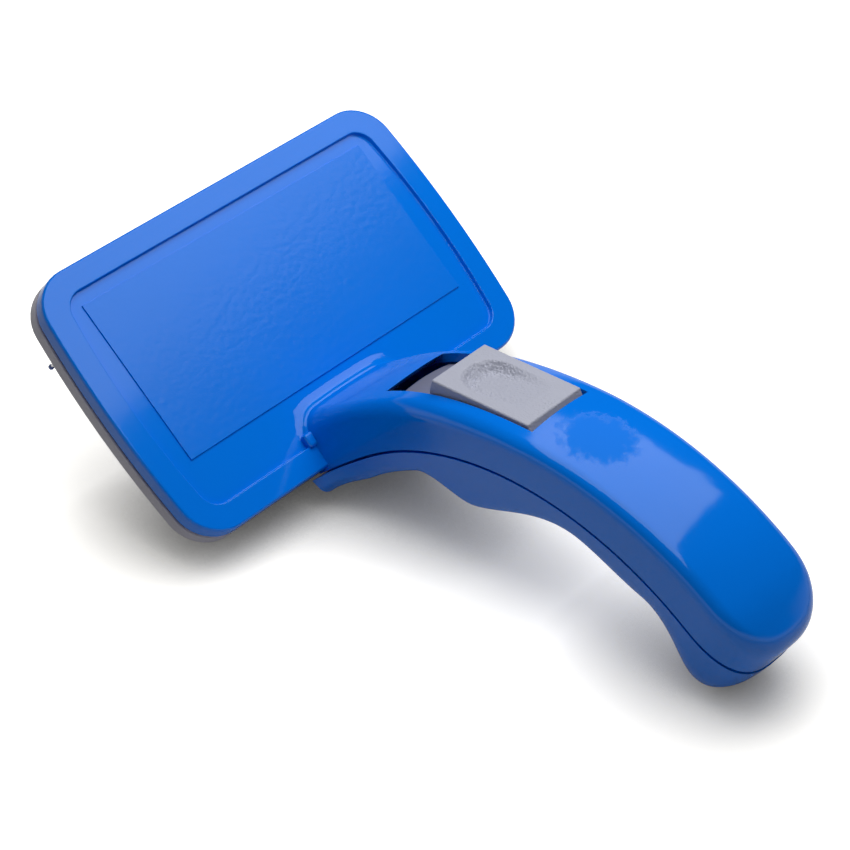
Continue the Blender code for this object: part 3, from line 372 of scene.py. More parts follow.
# %% Bright steel, for the wires, the screws and the spring
bright_steel = plastic("bright_steel", (0.62, 0.62, 0.63), roughness=0.24, grain=(3000.0, 0.003 * MM),
                       marks=0.3)
bright_steel.node_tree.nodes["Principled BSDF"].inputs["Metallic"].default_value = 1.0
print("metal:", bright_steel.name)

# %% [markdown]
# ## Tools for shaping
# The shells are lofts: one ring of edges is extruded from section to section, and its new points are moved
# onto the next section. Flat pieces are lofts too, of the head's outline at several insets. Where pieces
# were moulded in one, an exact Boolean joins them, so the finished mesh is one skin.

# %% Loft a ring through sections
def ring_edges(ring):
    """The edges that join a ring's own points."""
    members = set(ring)
    inner = (edge for vert in ring for edge in vert.link_edges if edge.other_vert(vert) in members)
    return list(dict.fromkeys(inner))


def loft(sections):
    """Extrude a closed ring from one section to the next, and close both ends."""
    bm = bmesh.new()
    ring = bmesh.ops.create_circle(bm, segments=len(sections[0]), radius=1.0)["verts"]
    first = ring
    for number, section in enumerate(sections):
        if number:
            grown = bmesh.ops.extrude_edge_only(bm, edges=ring_edges(ring))["geom"]
            fresh = {item for item in grown if isinstance(item, bmesh.types.BMVert)}
            ring = [next(edge.other_vert(vert) for edge in vert.link_edges
                         if edge.other_vert(vert) in fresh) for vert in ring]
        for vert, point in zip(ring, section):
            vert.co = point
    for end in (first, ring):
        bmesh.ops.contextual_create(bm, geom=ring_edges(end))
    bmesh.ops.recalc_face_normals(bm, faces=bm.faces)
    return bm


# %% Join and cut closed meshes, and finish a piece
def combine(base, tool, operation):
    """Join a tool to a mesh, or cut it away, and hand back the result."""
    working = []
    for shape in (base, tool):
        mesh = bpy.data.meshes.new("working")
        shape.to_mesh(mesh)
        shape.free()
        held = bpy.data.objects.new("working", mesh)
        scene.collection.objects.link(held)
        working.append(held)
    step = working[0].modifiers.new("step", "BOOLEAN")
    step.operation = operation
    step.solver = "EXACT"
    step.object = working[1]
    made = bmesh.new()
    made.from_object(working[0], bpy.context.evaluated_depsgraph_get())
    for held in working:
        mesh = held.data
        bpy.data.objects.remove(held)
        bpy.data.meshes.remove(mesh)
    return made


SHARP_ANGLE = math.radians(32)
WELD = 0.002 * MM


def finish_piece(bm, name, place, materials, body, nodes):
    """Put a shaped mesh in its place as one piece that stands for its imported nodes."""
    bmesh.ops.remove_doubles(bm, verts=bm.verts, dist=WELD)
    bm.transform(place)
    mesh = bpy.data.meshes.new(name)
    bm.to_mesh(mesh)
    bm.free()
    mesh.shade_smooth()
    mesh.set_sharp_from_angle(angle=SHARP_ANGLE)
    for material in materials:
        mesh.materials.append(material)
    piece = bpy.data.objects.new(name, mesh)
    scene.collection.objects.link(piece)
    flats = piece.modifiers.new("flats_stay_flat", "WEIGHTED_NORMAL")
    flats.keep_sharp = True
    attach(piece, body)
    if nodes:
        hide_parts(*nodes)
    print(name, "faces:", len(mesh.polygons))
    return piece


# %% Boxes and rods for joining and cutting
def box(low, high):
    """A closed box between two corners."""
    bm = bmesh.new()
    low = Vector(low)
    high = Vector(high)
    place = Matrix.Translation((low + high) / 2) @ Matrix.Diagonal((*(high - low), 1))
    bmesh.ops.create_cube(bm, size=1, matrix=place)
    return bm


def rods(runs, sides=24):
    """Closed round rods in one mesh, each given as a radius, a start and an end."""
    bm = bmesh.new()
    for radius, start, end in runs:
        start = Vector(start)
        run = Vector(end) - start
        place = Matrix.Translation(start + run / 2) @ run.to_track_quat("Z", "Y").to_matrix().to_4x4()
        bmesh.ops.create_cone(bm, cap_ends=True, segments=sides, radius1=radius, radius2=radius,
                              depth=run.length, matrix=place)
    return bm


def uprights(radius, places, low, high):
    """Runs of upright rods at some places, between two heights."""
    return [(radius, (x, y, low), (x, y, high)) for x, y in places]


CLEARANCE = 0.3 * MM
OVERLAP = 0.6 * MM
print("shaping tools ready")

# %% [markdown]
# ## The head's outline
# The head is a rounded rectangle whose short sides bow out by two millimetres. Cover, plate and cushion
# all follow it, so one function gives the outline at any inset.

# %% Draw the head's outline
HEAD_WIDTH = 101.6 * MM
HEAD_DEPTH = 62.8 * MM
HEAD_CORNER = 8.4 * MM
SIDE_BOW = 2 * MM
COVER_HEIGHT = 3.6 * MM
RIM_WIDTH = 5.4 * MM
RECESS_CORNER = 4 * MM
WALL = 1.8 * MM
NEAR_EDGE = -31.5 * MM
CORNER_STEPS = 10
SIDE_STEPS = 10


def head_outline(inset, z):
    """The head's outline at an inset, as points at one height."""
    corner = HEAD_CORNER - inset * (HEAD_CORNER - RECESS_CORNER) / RIM_WIDTH
    half_width = HEAD_WIDTH / 2 - inset
    half_depth = HEAD_DEPTH / 2 - inset
    points = []
    for turn, sign_x, sign_y in ((0, 1, 1), (90, -1, 1), (180, -1, -1), (270, 1, -1)):
        for step in range(CORNER_STEPS + 1):
            angle = math.radians(turn + 90 * step / CORNER_STEPS)
            points.append((sign_x * (half_width - corner) + corner * math.cos(angle),
                           sign_y * (half_depth - corner) + corner * math.sin(angle)))
        if sign_x != sign_y:
            for step in range(1, SIDE_STEPS):
                share = 1 - 2 * step / SIDE_STEPS
                points.append((sign_x * half_width, sign_y * (half_depth - corner) * share))
    return [Vector((x - math.copysign(SIDE_BOW * (y / half_depth) ** 2, x), y, z)) for x, y in points]


def rounding(start, end, steps):
    """Inset and height along a quarter round, which leaves its start upright and ends level."""
    (inset_a, z_a), (inset_b, z_b) = start, end
    turns = [math.pi / 2 * step / steps for step in range(steps + 1)]
    return [(inset_a + (inset_b - inset_a) * (1 - math.cos(turn)), z_a + (z_b - z_a) * math.sin(turn))
            for turn in turns]


print("outline points:", len(head_outline(0, 0)))

# %% [markdown]
# ## The handle's arch
# The handle is one arch from the neck to the tail. Its sections are planes through the arch's axis, so a
# point is an angle along the arch, a height over the parting line and a distance from the middle. The top
# is crowned, its edges are rolled over with one radius that follows the outline round the tail, and the
# underside dips into a finger notch, a bump and a tail lobe.

# %% Sizes of the arch
ARCH_RADIUS = 69 * MM
NECK_SETBACK = 1.5 * MM
ARCH_CENTRE_Y = NEAR_EDGE - NECK_SETBACK - ARCH_RADIUS
ARCH_CENTRE_Z = -4 * MM
ARCH_SAG = 1.4 * MM
ARCH_SAG_ANGLES = (22, 84)
GRIP_HALF_WIDTH = 13.3 * MM
GRIP_TOP = 9.7 * MM
NECK_TOP = 12.0 * MM
NECK_TOP_ANGLES = (18, 50)
NECK_CROWN = 0.6 * MM
NECK_CROWN_ANGLES = (8, 22)
GRIP_CROWN = 2.0 * MM
PALM_CROWN = 1.0 * MM
PALM_CROWN_ANGLES = (34, 52)
PALM_DROP = 0.35 * MM
GRIP_FILLET = 2.8 * MM
GRIP_DRAFT = 0.3 * MM
NECK_FLARE = 2.2 * MM
NECK_FLARE_ANGLE = 22
NECK_LIFT = 1.2 * MM
NECK_LIFT_ANGLE = 13
ROOT_ROUND = 4.0 * MM
ROOT_ROUND_ANGLE = 14
LOWER_FLARE = 2.6 * MM
LOWER_FLARE_ANGLE = 10
ROOT_FLARE = 3.0 * MM
ROOT_FLARE_ANGLE = 12
LOWER_FILLET = 2.4 * MM
BELLY_ROUND = 5 * MM
BELLY_ANGLES = (62, 88)
SEAM = 0.6 * MM
NECK_SEAM = 0.3 * MM
NECK_SEAM_ANGLES = (0, 12)
LOWER_FRONT = 3.75 * MM
TAIL_START = 85
TAIL_END = 97.72
TAIL_OVERHANG = -0.2
TAIL_LEAN = 2.2
TAIL_LEAD = 10
TAIL_DIP = -1.0 * MM
TAIL_DROP = 0.12
TAIL_SQUARENESS = 2.6
TAIL_BELLY_KEPT = 0.66
UNDERSIDE = ((-4, 2.2 * MM), (0, 2.9 * MM), (10, 5.0 * MM), (22, 5.4 * MM), (36, 11.8 * MM),
             (60, 6.4 * MM), (76, 8.8 * MM), (95, 15.4 * MM), (99, 15.4 * MM))
LEAST_WIDTH = 0.5 * MM
LEAST_FILLET = 0.8 * MM
LEAST_DEPTH = 0.4 * MM
FILLET_LIMIT = 0.8
FILLET_STEPS = 9
CREST_STEPS = 12


# %% Laws of the arch
def ease(value, low, high):
    """Smooth step from 0 at low to 1 at high."""
    share = min(max((value - low) / (high - low), 0.0), 1.0)
    return share * share * (3 - 2 * share)


def fade(angle, limit):
    """1 at the head, falling smoothly to 0 at the limit angle."""
    return max(0.0, 1 - max(angle, 0.0) / limit) ** 2


def tail_run(angle, end):
    """How far along the round tail an angle lies, from 0 to 1."""
    return min(max((angle - TAIL_START) / (end - TAIL_START), 0.0), 1.0)


def tail_share(angle, end):
    """Share of the full width that is left towards the round tail."""
    return (1 - tail_run(angle, end) ** TAIL_SQUARENESS) ** (1 / TAIL_SQUARENESS)


def grip_half_width(angle):
    """Half width of the handle before its tail is rounded, flared at the neck."""
    return GRIP_HALF_WIDTH + NECK_FLARE * fade(angle, NECK_FLARE_ANGLE)


def crown(angle):
    """How far the middle of the top stands over its sides: flat at the neck, full over the slide."""
    rise = NECK_CROWN + (GRIP_CROWN - NECK_CROWN) * ease(angle, *NECK_CROWN_ANGLES)
    return rise + (PALM_CROWN - GRIP_CROWN) * ease(angle, *PALM_CROWN_ANGLES)


def grip_top(angle):
    """Height of the crown over the parting line."""
    top = NECK_TOP + (GRIP_TOP - NECK_TOP) * ease(angle, *NECK_TOP_ANGLES)
    top -= PALM_DROP * ease(angle, *PALM_CROWN_ANGLES)
    drop = 1 - TAIL_DROP * ease(angle, TAIL_START, TAIL_END) ** 2
    return (top + ROOT_FLARE * fade(angle, ROOT_FLARE_ANGLE)) * drop


def seam(angle):
    """Width of the groove between the shells, which closes up at the neck."""
    return NECK_SEAM + (SEAM - NECK_SEAM) * ease(angle, *NECK_SEAM_ANGLES)


def underside(angle):
    """Depth of the underside below the parting line."""
    for (low, start), (high, end) in zip(UNDERSIDE, UNDERSIDE[1:]):
        if angle <= high:
            return start + (end - start) * ease(angle, low, high)
    return UNDERSIDE[-1][1]


def parting_dip(angle):
    """How far the parting line lies below its arc, or over it at the neck."""
    sag = ARCH_SAG * ease(angle, *ARCH_SAG_ANGLES) + TAIL_DIP * ease(angle, TAIL_START, TAIL_END)
    return sag - NECK_LIFT * fade(angle, NECK_LIFT_ANGLE)


def arch_point(angle, offset, x=0.0):
    """A point of the arch, by its angle and its offset from the arc."""
    turn = math.radians(angle)
    reach = ARCH_RADIUS + offset
    return Vector((x, ARCH_CENTRE_Y + reach * math.cos(turn), ARCH_CENTRE_Z + reach * math.sin(turn)))


def shell_point(angle, offset, x):
    """A point of a shell's skin, whose sections lean back over the tail."""
    lean = TAIL_LEAN * offset / GRIP_TOP * ease(angle, TAIL_START - TAIL_LEAD, TAIL_END)
    return arch_point(angle - lean, offset, x)


print("arch radius, mm:", ARCH_RADIUS / MM, "from", -LOWER_FRONT / MM, "mm to", TAIL_END, "degrees")


# %% Sections of the two shells
def roll_off(distance, radius):
    """How far a rounded edge falls, by the distance from the outline."""
    inner = max(radius - distance, 0.0)
    return radius - math.sqrt(max(radius ** 2 - inner ** 2, 0.0))


def edge_distance(angle, x, full, end, reach):
    """Distance from the outline, which runs straight along the grip and round the tail."""
    run = tail_run(angle, end)
    across = abs(x) / full
    level = (run ** TAIL_SQUARENESS + across ** TAIL_SQUARENESS) ** (1 / TAIL_SQUARENESS)
    if level == 0:
        return full
    length = math.radians(end - TAIL_START) * reach
    power = TAIL_SQUARENESS - 1
    slope = math.hypot((across / level) ** power / full, (run / level) ** power / length)
    return max((1 - level) / slope, 0.0)


def edge_to_middle(width, radius):
    """Places across half a section: close together over the rounded edge, then even to the middle."""
    radius = min(radius, width * FILLET_LIMIT)
    turns = [math.pi / 2 * step / FILLET_STEPS for step in range(FILLET_STEPS + 1)]
    edge = [width - radius * (1 - math.cos(turn)) for turn in turns]
    return edge + [edge[-1] * (1 - step / CREST_STEPS) for step in range(1, CREST_STEPS + 1)]


def mirrored(half):
    """A whole section from its right half, which runs from the foot to the middle."""
    return [(-x, r) for x, r in half] + [(x, r) for x, r in reversed(half[:-1])]


def upper_section(angle, inset, end):
    """Wall, rolled edge and crown of the upper shell."""
    full = grip_half_width(angle) - GRIP_DRAFT - inset
    width = max(full * tail_share(angle, end), LEAST_WIDTH)
    top = grip_top(angle) - inset
    fillet = max(GRIP_FILLET + ROOT_ROUND * fade(angle, ROOT_ROUND_ANGLE) - inset, LEAST_FILLET)
    bulge = crown(angle) * min(1.0, width / GRIP_HALF_WIDTH)
    foot = (seam(angle) / 2 if inset == 0 else -OVERLAP) - parting_dip(angle)
    half = [(width + GRIP_DRAFT, foot)]
    for x in edge_to_middle(width, fillet):
        distance = edge_distance(angle, x, full, end, ARCH_RADIUS + top)
        half.append((x, top - bulge * (x / width) ** 2 - roll_off(distance, fillet)))
    return mirrored(half)


def lower_section(angle, inset, end):
    """Wall, rounded edge and flat bottom of the lower shell."""
    full = grip_half_width(angle) + LOWER_FLARE * fade(angle, LOWER_FLARE_ANGLE) - GRIP_DRAFT - inset
    width = max(full * tail_share(angle, end), LEAST_WIDTH)
    depth = max(underside(angle) - inset, LEAST_DEPTH)
    depth *= TAIL_BELLY_KEPT + (1 - TAIL_BELLY_KEPT) * tail_share(angle, end)
    belly = LOWER_FILLET + BELLY_ROUND * ease(angle, *BELLY_ANGLES)
    fillet = min(max(belly - inset, LEAST_FILLET), depth * FILLET_LIMIT)
    foot = (-seam(angle) / 2 if inset == 0 else OVERLAP) - parting_dip(angle)
    half = [(width + GRIP_DRAFT, foot)]
    for x in edge_to_middle(width, fillet):
        distance = edge_distance(angle, x, full, end, ARCH_RADIUS - depth)
        half.append((x, -depth + roll_off(distance, fillet)))
    return mirrored(half)


def tail_stations(end, steps):
    """Angles round the tail, at which the width falls in even turns."""
    turns = [math.pi / 2 * step / steps for step in range(1, steps)]
    return [TAIL_START + (end - TAIL_START) * math.sin(turn) ** (2 / TAIL_SQUARENESS) for turn in turns]


def even_stations(start, stop, step):
    """Angles from start up to stop, evenly spaced by about a step."""
    count = max(1, round((stop - start) / step))
    return [start + (stop - start) * number / count for number in range(count)]


def angle_at_height(z):
    """Angle at which the arc passes a height near the head."""
    return math.degrees(math.asin((z - ARCH_CENTRE_Z) / ARCH_RADIUS))


def wall_angle(thickness):
    """Angle that a thickness takes up along the arc."""
    return math.degrees(thickness / ARCH_RADIUS)


print("points in a section:", len(upper_section(40, 0, TAIL_END)))

# %% [markdown]
# ## The upper shell
# Head cover and handle top are one moulding. The cover has a flat raised rim, a step down to a shallow
# recess, and a grained panel that stands a third of a millimetre proud. The handle grows out of the recess
# with a hollow fillet, the pale band in front of its root. The panel is cut out of the recess floor with
# four planes and extruded, so its corners stay sharp.

# %% Shape the head cover
EDGE_ROUND = 0.6 * MM
EDGE_DROP = 0.82 * MM
STEP_ROUND = 0.2 * MM
STEP_DRAFT = 0.1 * MM
LIP_ROUND = 0.25 * MM
PANEL_WIDTH = 81 * MM
PANEL_DEPTH = 38 * MM
PANEL_EDGE = 0.12 * MM
EDGE_STEPS = 6
STEP_STEPS = 4


def recess_floor(bm):
    """The faces that lie in the recess's floor."""
    return [face for face in bm.faces if all(abs(vert.co.z + RECESS_DEPTH) < WELD for vert in face.verts)]


def head_cover():
    """The cover as a closed block, with its rim, recess and panel."""
    step_foot = RIM_WIDTH + STEP_DRAFT
    profile = [(LIP_ROUND, -COVER_HEIGHT), (0, -COVER_HEIGHT + LIP_ROUND)]
    profile += rounding((0, -EDGE_DROP), (EDGE_ROUND, 0), EDGE_STEPS)
    profile += reversed(rounding((RIM_WIDTH, -STEP_ROUND), (RIM_WIDTH - STEP_ROUND, 0), STEP_STEPS))
    profile += rounding((step_foot, STEP_ROUND - RECESS_DEPTH), (step_foot + STEP_ROUND, -RECESS_DEPTH),
                        STEP_STEPS)
    bm = loft([head_outline(inset, z) for inset, z in profile])
    for axis, middle, half in ((0, 0, PANEL_WIDTH / 2), (1, PANEL_SHIFT, PANEL_DEPTH / 2)):
        for side in (-1, 1):
            parts = dict.fromkeys(part for face in recess_floor(bm)
                                  for part in (face, *face.edges, *face.verts))
            normal = Vector((0, 0, 0))
            normal[axis] = 1
            bmesh.ops.bisect_plane(bm, geom=list(parts), plane_co=normal * (middle + side * half),
                                   plane_no=normal)
    centre = Vector((0, PANEL_SHIFT, -RECESS_DEPTH))
    panel = [face for face in recess_floor(bm) if (face.calc_center_median() - centre).length < MM]
    raised = bmesh.ops.extrude_face_region(bm, geom=panel)["geom"]
    top = [part for part in raised if isinstance(part, bmesh.types.BMVert)]
    bmesh.ops.translate(bm, verts=top, vec=(0, 0, PANEL_RISE))
    bmesh.ops.delete(bm, geom=panel, context="FACES")
    edges = [part for part in raised if isinstance(part, bmesh.types.BMEdge)]
    bmesh.ops.bevel(bm, geom=edges, offset=PANEL_EDGE, segments=2, profile=0.5, affect="EDGES",
                    material=-1)
    bmesh.ops.recalc_face_normals(bm, faces=bm.faces)
    return bm


# %% Shape the handle's top, with the hollow fillet at its root
COVE_WIDTH = 2.3 * MM
COVE_HEIGHT = 1.1 * MM
COVE_SINK = 0.06 * MM
COVE_ANGLE = 9
COVE_FADE = 6 * MM
LEDGE = 0.4 * MM
LEDGE_EDGE = (0.9 * MM, 1.2 * MM)


def skin(section, angle):
    """A section's points on a shell's skin."""
    return [shell_point(angle, r, x) for x, r in section]


def with_cove(section, angle):
    """A section's points, pushed out where the root spreads onto the recess."""
    points = skin(section, angle)
    if angle > COVE_ANGLE:
        return points
    spread = []
    for index, ((x, r), point) in enumerate(zip(section, points)):
        before = section[max(index - 1, 0)]
        after = section[min(index + 1, len(section) - 1)]
        outward = Vector((before[1] - after[1], after[0] - before[0])).normalized()
        share = ease(point.y, NEAR_EDGE, NEAR_EDGE + COVE_FADE)
        height = max(point.z + RECESS_DEPTH + COVE_SINK, 0.0)
        hollow = COVE_WIDTH / COVE_HEIGHT * roll_off(height, COVE_HEIGHT)
        push = share * (hollow + LEDGE * (1 - ease(height, *LEDGE_EDGE)))
        spread.append(shell_point(angle, r + outward.y * push, x + outward.x * push))
    return spread


LUG_LOW = Vector((12.0, 5.0, -2.0)) * MM
LUG_HIGH = Vector((16.4, 8.2, 1.0)) * MM
LUG_ROUND = 0.7 * MM


def root_lugs():
    """A small rounded lug on each side of the root, standing on the recess behind the rim."""
    bm = bmesh.new()
    for side in (-1, 1):
        middle = (LUG_LOW + LUG_HIGH) / 2 + Vector((0, NEAR_EDGE, 0))
        middle.x *= side
        place = Matrix.Translation(middle) @ Matrix.Diagonal((*(LUG_HIGH - LUG_LOW), 1))
        bmesh.ops.create_cube(bm, size=1, matrix=place)
    bmesh.ops.bevel(bm, geom=bm.edges[:], offset=LUG_ROUND, segments=4, profile=0.5, affect="EDGES",
                    material=-1)
    return bm


FINE_STEP = 0.9
FINE_TAIL = 26
COARSE_STEP = 3.0
COARSE_TAIL = 8
TOP_STATIONS = ((1.7, 0.8), (5.0, 0.12), (12, 0.5), (TAIL_START, FINE_STEP))


def handle_top():
    """The handle's upper half as a closed solid, with close sections where the root spreads."""
    angles = []
    start = angle_at_height(-COVER_HEIGHT)
    for stop, step in TOP_STATIONS:
        angles += even_stations(start, stop, step)
        start = stop
    angles += [TAIL_START] + tail_stations(TAIL_END, FINE_TAIL)
    return loft([with_cove(upper_section(angle, 0, TAIL_END), angle) for angle in angles])


def handle_bore():
    """The hollow inside the handle's top."""
    start = angle_at_height(-COVER_HEIGHT) - wall_angle(OVERLAP)
    end = TAIL_END - wall_angle(WALL)
    angles = even_stations(start, TAIL_START, COARSE_STEP) + [TAIL_START] + tail_stations(end, COARSE_TAIL)
    return loft([skin(upper_section(angle, WALL, end), angle) for angle in angles])


# %% Join the cover and the handle, and hollow them out
CEILING = -RECESS_DEPTH - WALL
shell = combine(head_cover(), handle_top(), "UNION")
shell = combine(shell, root_lugs(), "UNION")
hollow = loft([head_outline(WALL, z) for z in (-COVER_HEIGHT - OVERLAP, CEILING)])
shell = combine(shell, hollow, "DIFFERENCE")
shell = combine(shell, handle_bore(), "DIFFERENCE")
print("hollow shell faces:", len(shell.faces))

# %% Add the posts for the screws
BASE_SCREW_SIDE_MARGIN = 10 * MM
BASE_SCREW_EDGE_MARGIN = 7 * MM
BASE_SCREW_X = HEAD_WIDTH / 2 - BASE_SCREW_SIDE_MARGIN
BASE_SCREW_Y = -NEAR_EDGE - BASE_SCREW_EDGE_MARGIN
BASE_SCREW_PLACES = [(sx * BASE_SCREW_X, sy * BASE_SCREW_Y) for sx in (-1, 1) for sy in (-1, 1)]
BOSS_RADIUS = 2.6 * MM
SHANK_RADIUS = 1.1 * MM
GRIP_SCREW_ANGLES = {"grip_screw_middle": 60, "grip_screw_tail": 85}
GRIP_BOSS_RADIUS = 3.4 * MM
GRIP_SCREW_REACH = 5.5 * MM
posts = uprights(BOSS_RADIUS, BASE_SCREW_PLACES, -COVER_HEIGHT, CEILING + OVERLAP)
pilots = uprights(SHANK_RADIUS + CLEARANCE, BASE_SCREW_PLACES, -COVER_HEIGHT - OVERLAP, CEILING + OVERLAP)
for angle in GRIP_SCREW_ANGLES.values():
    low = SEAM / 2 - parting_dip(angle)
    high = grip_top(angle) - WALL / 2
    posts.append((GRIP_BOSS_RADIUS, arch_point(angle, low), arch_point(angle, high)))
    pilots.append((SHANK_RADIUS + CLEARANCE, arch_point(angle, low - OVERLAP),
                   arch_point(angle, GRIP_SCREW_REACH + CLEARANCE)))
shell = combine(shell, rods(posts), "UNION")
shell = combine(shell, rods(pilots), "DIFFERENCE")
print("posts:", len(posts))

# %% Cut the slot for the slide, undercut at its front
TRACK_ANGLE = 36
TRACK_TURN = math.radians(TRACK_ANGLE - 90)
TRACK = Matrix.Translation(arch_point(TRACK_ANGLE, 0)) @ Matrix.Rotation(TRACK_TURN, 4, "X")
SLIDE_FIT = 0.4 * MM
BUTTON_WIDTH = 16 * MM
BUTTON_LENGTH = 25.5 * MM
BUTTON_FRONT_TOP = 12.3 * MM
BUTTON_REAR_TOP = 8.2 * MM
SLOT_REAR = -16.3 * MM
BUTTON_REAR = SLOT_REAR + 2 * SLIDE_FIT
BUTTON_FRONT = BUTTON_REAR + BUTTON_LENGTH
SLOT_FRONT_ROOM = 1.8 * MM
SLOT_FRONT = BUTTON_FRONT + SLIDE_TRAVEL + SLOT_FRONT_ROOM
SLOT_EDGE_LEVEL = 8.3 * MM
SLOT_UNDERCUT = math.radians(48)
TONGUE_TOP = 1.4 * MM
slot_half = BUTTON_WIDTH / 2 + SLIDE_FIT
slot = box((-slot_half, SLOT_REAR, TONGUE_TOP + SLIDE_FIT), (slot_half, SLOT_FRONT, 2 * BUTTON_FRONT_TOP))
for vert in slot.verts:
    if vert.co.y > 0:
        vert.co.y += (SLOT_EDGE_LEVEL - vert.co.z) * math.tan(SLOT_UNDERCUT)
slot.transform(TRACK)
shell = combine(shell, slot, "DIFFERENCE")
print("slot length, mm:", round((SLOT_FRONT - SLOT_REAR) / MM, 1))

# %% Give the panel its grain, and set the shell in place
FACING_UP = 0.9
panel_level = PANEL_RISE - RECESS_DEPTH
shell.normal_update()
for face in shell.faces:
    middle = face.calc_center_median()
    if (abs(middle.z - panel_level) < WELD and face.normal.z > FACING_UP
            and abs(middle.x) < PANEL_WIDTH / 2 and abs(middle.y - PANEL_SHIFT) < PANEL_DEPTH / 2):
        face.material_index = 1
    elif middle.y < NEAR_EDGE - OVERLAP:
        face.material_index = 2
finish_piece(shell, "upper_shell_skin", HEAD, [blue_gloss, blue_panel, blue_grip], "brush_body",
             ["upper_shell"])

# %% [markdown]
# ## The lower shell
# The underside is a second moulding that meets the first along a dark groove. It is hollow, two round
# wells let the screws in from below, and a small notch at its front lets the plate's lifter come down.

# %% Shape the lower shell
GRIP_HEAD_SEAT = 3.2 * MM
SCREW_HEAD_RADIUS = 2.4 * MM
LIFTER_HALF_THICKNESS = 2.2 * MM
RELIEF_DEPTH = 2.1 * MM
RELIEF_DROP = 6.4 * MM


def lower_loft(inset, step, tail_steps):
    """The lower shell's skin, or its hollow when an inset is given."""
    start = angle_at_height(-LOWER_FRONT) + wall_angle(inset)
    end = TAIL_END - TAIL_OVERHANG - wall_angle(inset)
    angles = even_stations(start, TAIL_START, step) + [TAIL_START] + tail_stations(end, tail_steps)
    return loft([skin(lower_section(angle, inset, end), angle) for angle in angles])


outside = lower_loft(0, FINE_STEP, FINE_TAIL)
shell = combine(outside, lower_loft(WALL, COARSE_STEP, COARSE_TAIL), "DIFFERENCE")
wells = []
holes = []
for angle in GRIP_SCREW_ANGLES.values():
    depth = underside(angle)
    wells.append((GRIP_BOSS_RADIUS, arch_point(angle, -depth + WALL / 3),
                  arch_point(angle, -SEAM / 2 - parting_dip(angle))))
    holes.append((SHANK_RADIUS + CLEARANCE, arch_point(angle, -GRIP_HEAD_SEAT - OVERLAP),
                  arch_point(angle, OVERLAP)))
    holes.append((SCREW_HEAD_RADIUS + CLEARANCE, arch_point(angle, -depth - WALL),
                  arch_point(angle, -GRIP_HEAD_SEAT)))
shell = combine(shell, rods(wells), "UNION")
for hole in holes:
    shell = combine(shell, rods([hole]), "DIFFERENCE")
relief_half = LIFTER_HALF_THICKNESS + CLEARANCE
relief = box((-relief_half, NEAR_EDGE - RELIEF_DEPTH, -RELIEF_DROP),
             (relief_half, NEAR_EDGE + OVERLAP, 0))
shell = combine(shell, relief, "DIFFERENCE")
finish_piece(shell, "lower_shell_skin", HEAD, [blue_grip], "brush_body", ["lower_shell"])

# %% [markdown]
# ## The thumb slide
# A matte grey wedge with a thumb dish, on a tongue that runs under the shell. The dish is a scoop, deepest
# at the front, where its wall is steep and coarsely stippled, and it runs out flat to the rear. A fine grid
# takes these shapes as heights, and its border is drawn down to the tongue.

# %% Shape the button
BUTTON_ROUND = 0.4 * MM
BUTTON_LIFT = 0.8 * MM
FRONT_SLANT = 1.3 * MM
FRONT_SLANT_TOP = 0.7 * MM
REAR_SLANT = 1.0 * MM
REAR_SLANT_TOP = 0.5 * MM
SLANT_DROP = 2.4 * MM
DISH_HALF_WIDTH = 6.0 * MM
DISH_FRONT = 10.3 * MM
DISH_REAR = -8.3 * MM
DISH_DEPTH = 2.0 * MM
DISH_WALL = 2.2 * MM
STIPPLE_SCALE = 2300.0
WALL_STIPPLE = 0.34 * MM
FLOOR_STIPPLE = 0.10 * MM
GRID_ACROSS = 150
GRID_ALONG = 220
FRONT_EDGE = (0.8, 0.9)
REAR_EDGE = (0.9, 1.0)


def rounded_plan(across, along):
    """A place on the button's plan, with its corners rounded, and its distance from the edge."""
    half = Vector((BUTTON_WIDTH / 2, BUTTON_LENGTH / 2))
    place = Vector((across * half.x, along * half.y))
    past = Vector((abs(place.x) - half.x + BUTTON_ROUND, abs(place.y) - half.y + BUTTON_ROUND))
    corner = Vector((max(past.x, 0.0), max(past.y, 0.0)))
    if corner.length > BUTTON_ROUND:
        pulled = corner * BUTTON_ROUND / corner.length
        place.x = math.copysign(half.x - BUTTON_ROUND + pulled.x, place.x)
        place.y = math.copysign(half.y - BUTTON_ROUND + pulled.y, place.y)
        return place, 0.0
    return place, BUTTON_ROUND - corner.length - min(max(past.x, past.y), 0.0)


def dish_depth(place):
    """Depth of the thumb dish, and the height of its stipple: coarse on the wall, fine on the floor."""
    round_middle = DISH_FRONT - DISH_HALF_WIDTH
    inside = DISH_HALF_WIDTH - math.hypot(place.x, max(place.y - round_middle, 0.0))
    along = min(max((place.y - DISH_REAR) / (DISH_FRONT - DISH_WALL - DISH_REAR), 0.0), 1.0)
    walled = ease(inside, 0.0, DISH_WALL)
    crinkled = ease(inside, 0.0, DISH_WALL / 3) * (1 - ease(inside, DISH_WALL, 2 * DISH_WALL)) * along
    fine = ease(inside, DISH_WALL / 2, 2 * DISH_WALL)
    return DISH_DEPTH * along * walled, WALL_STIPPLE * crinkled + FLOOR_STIPPLE * fine


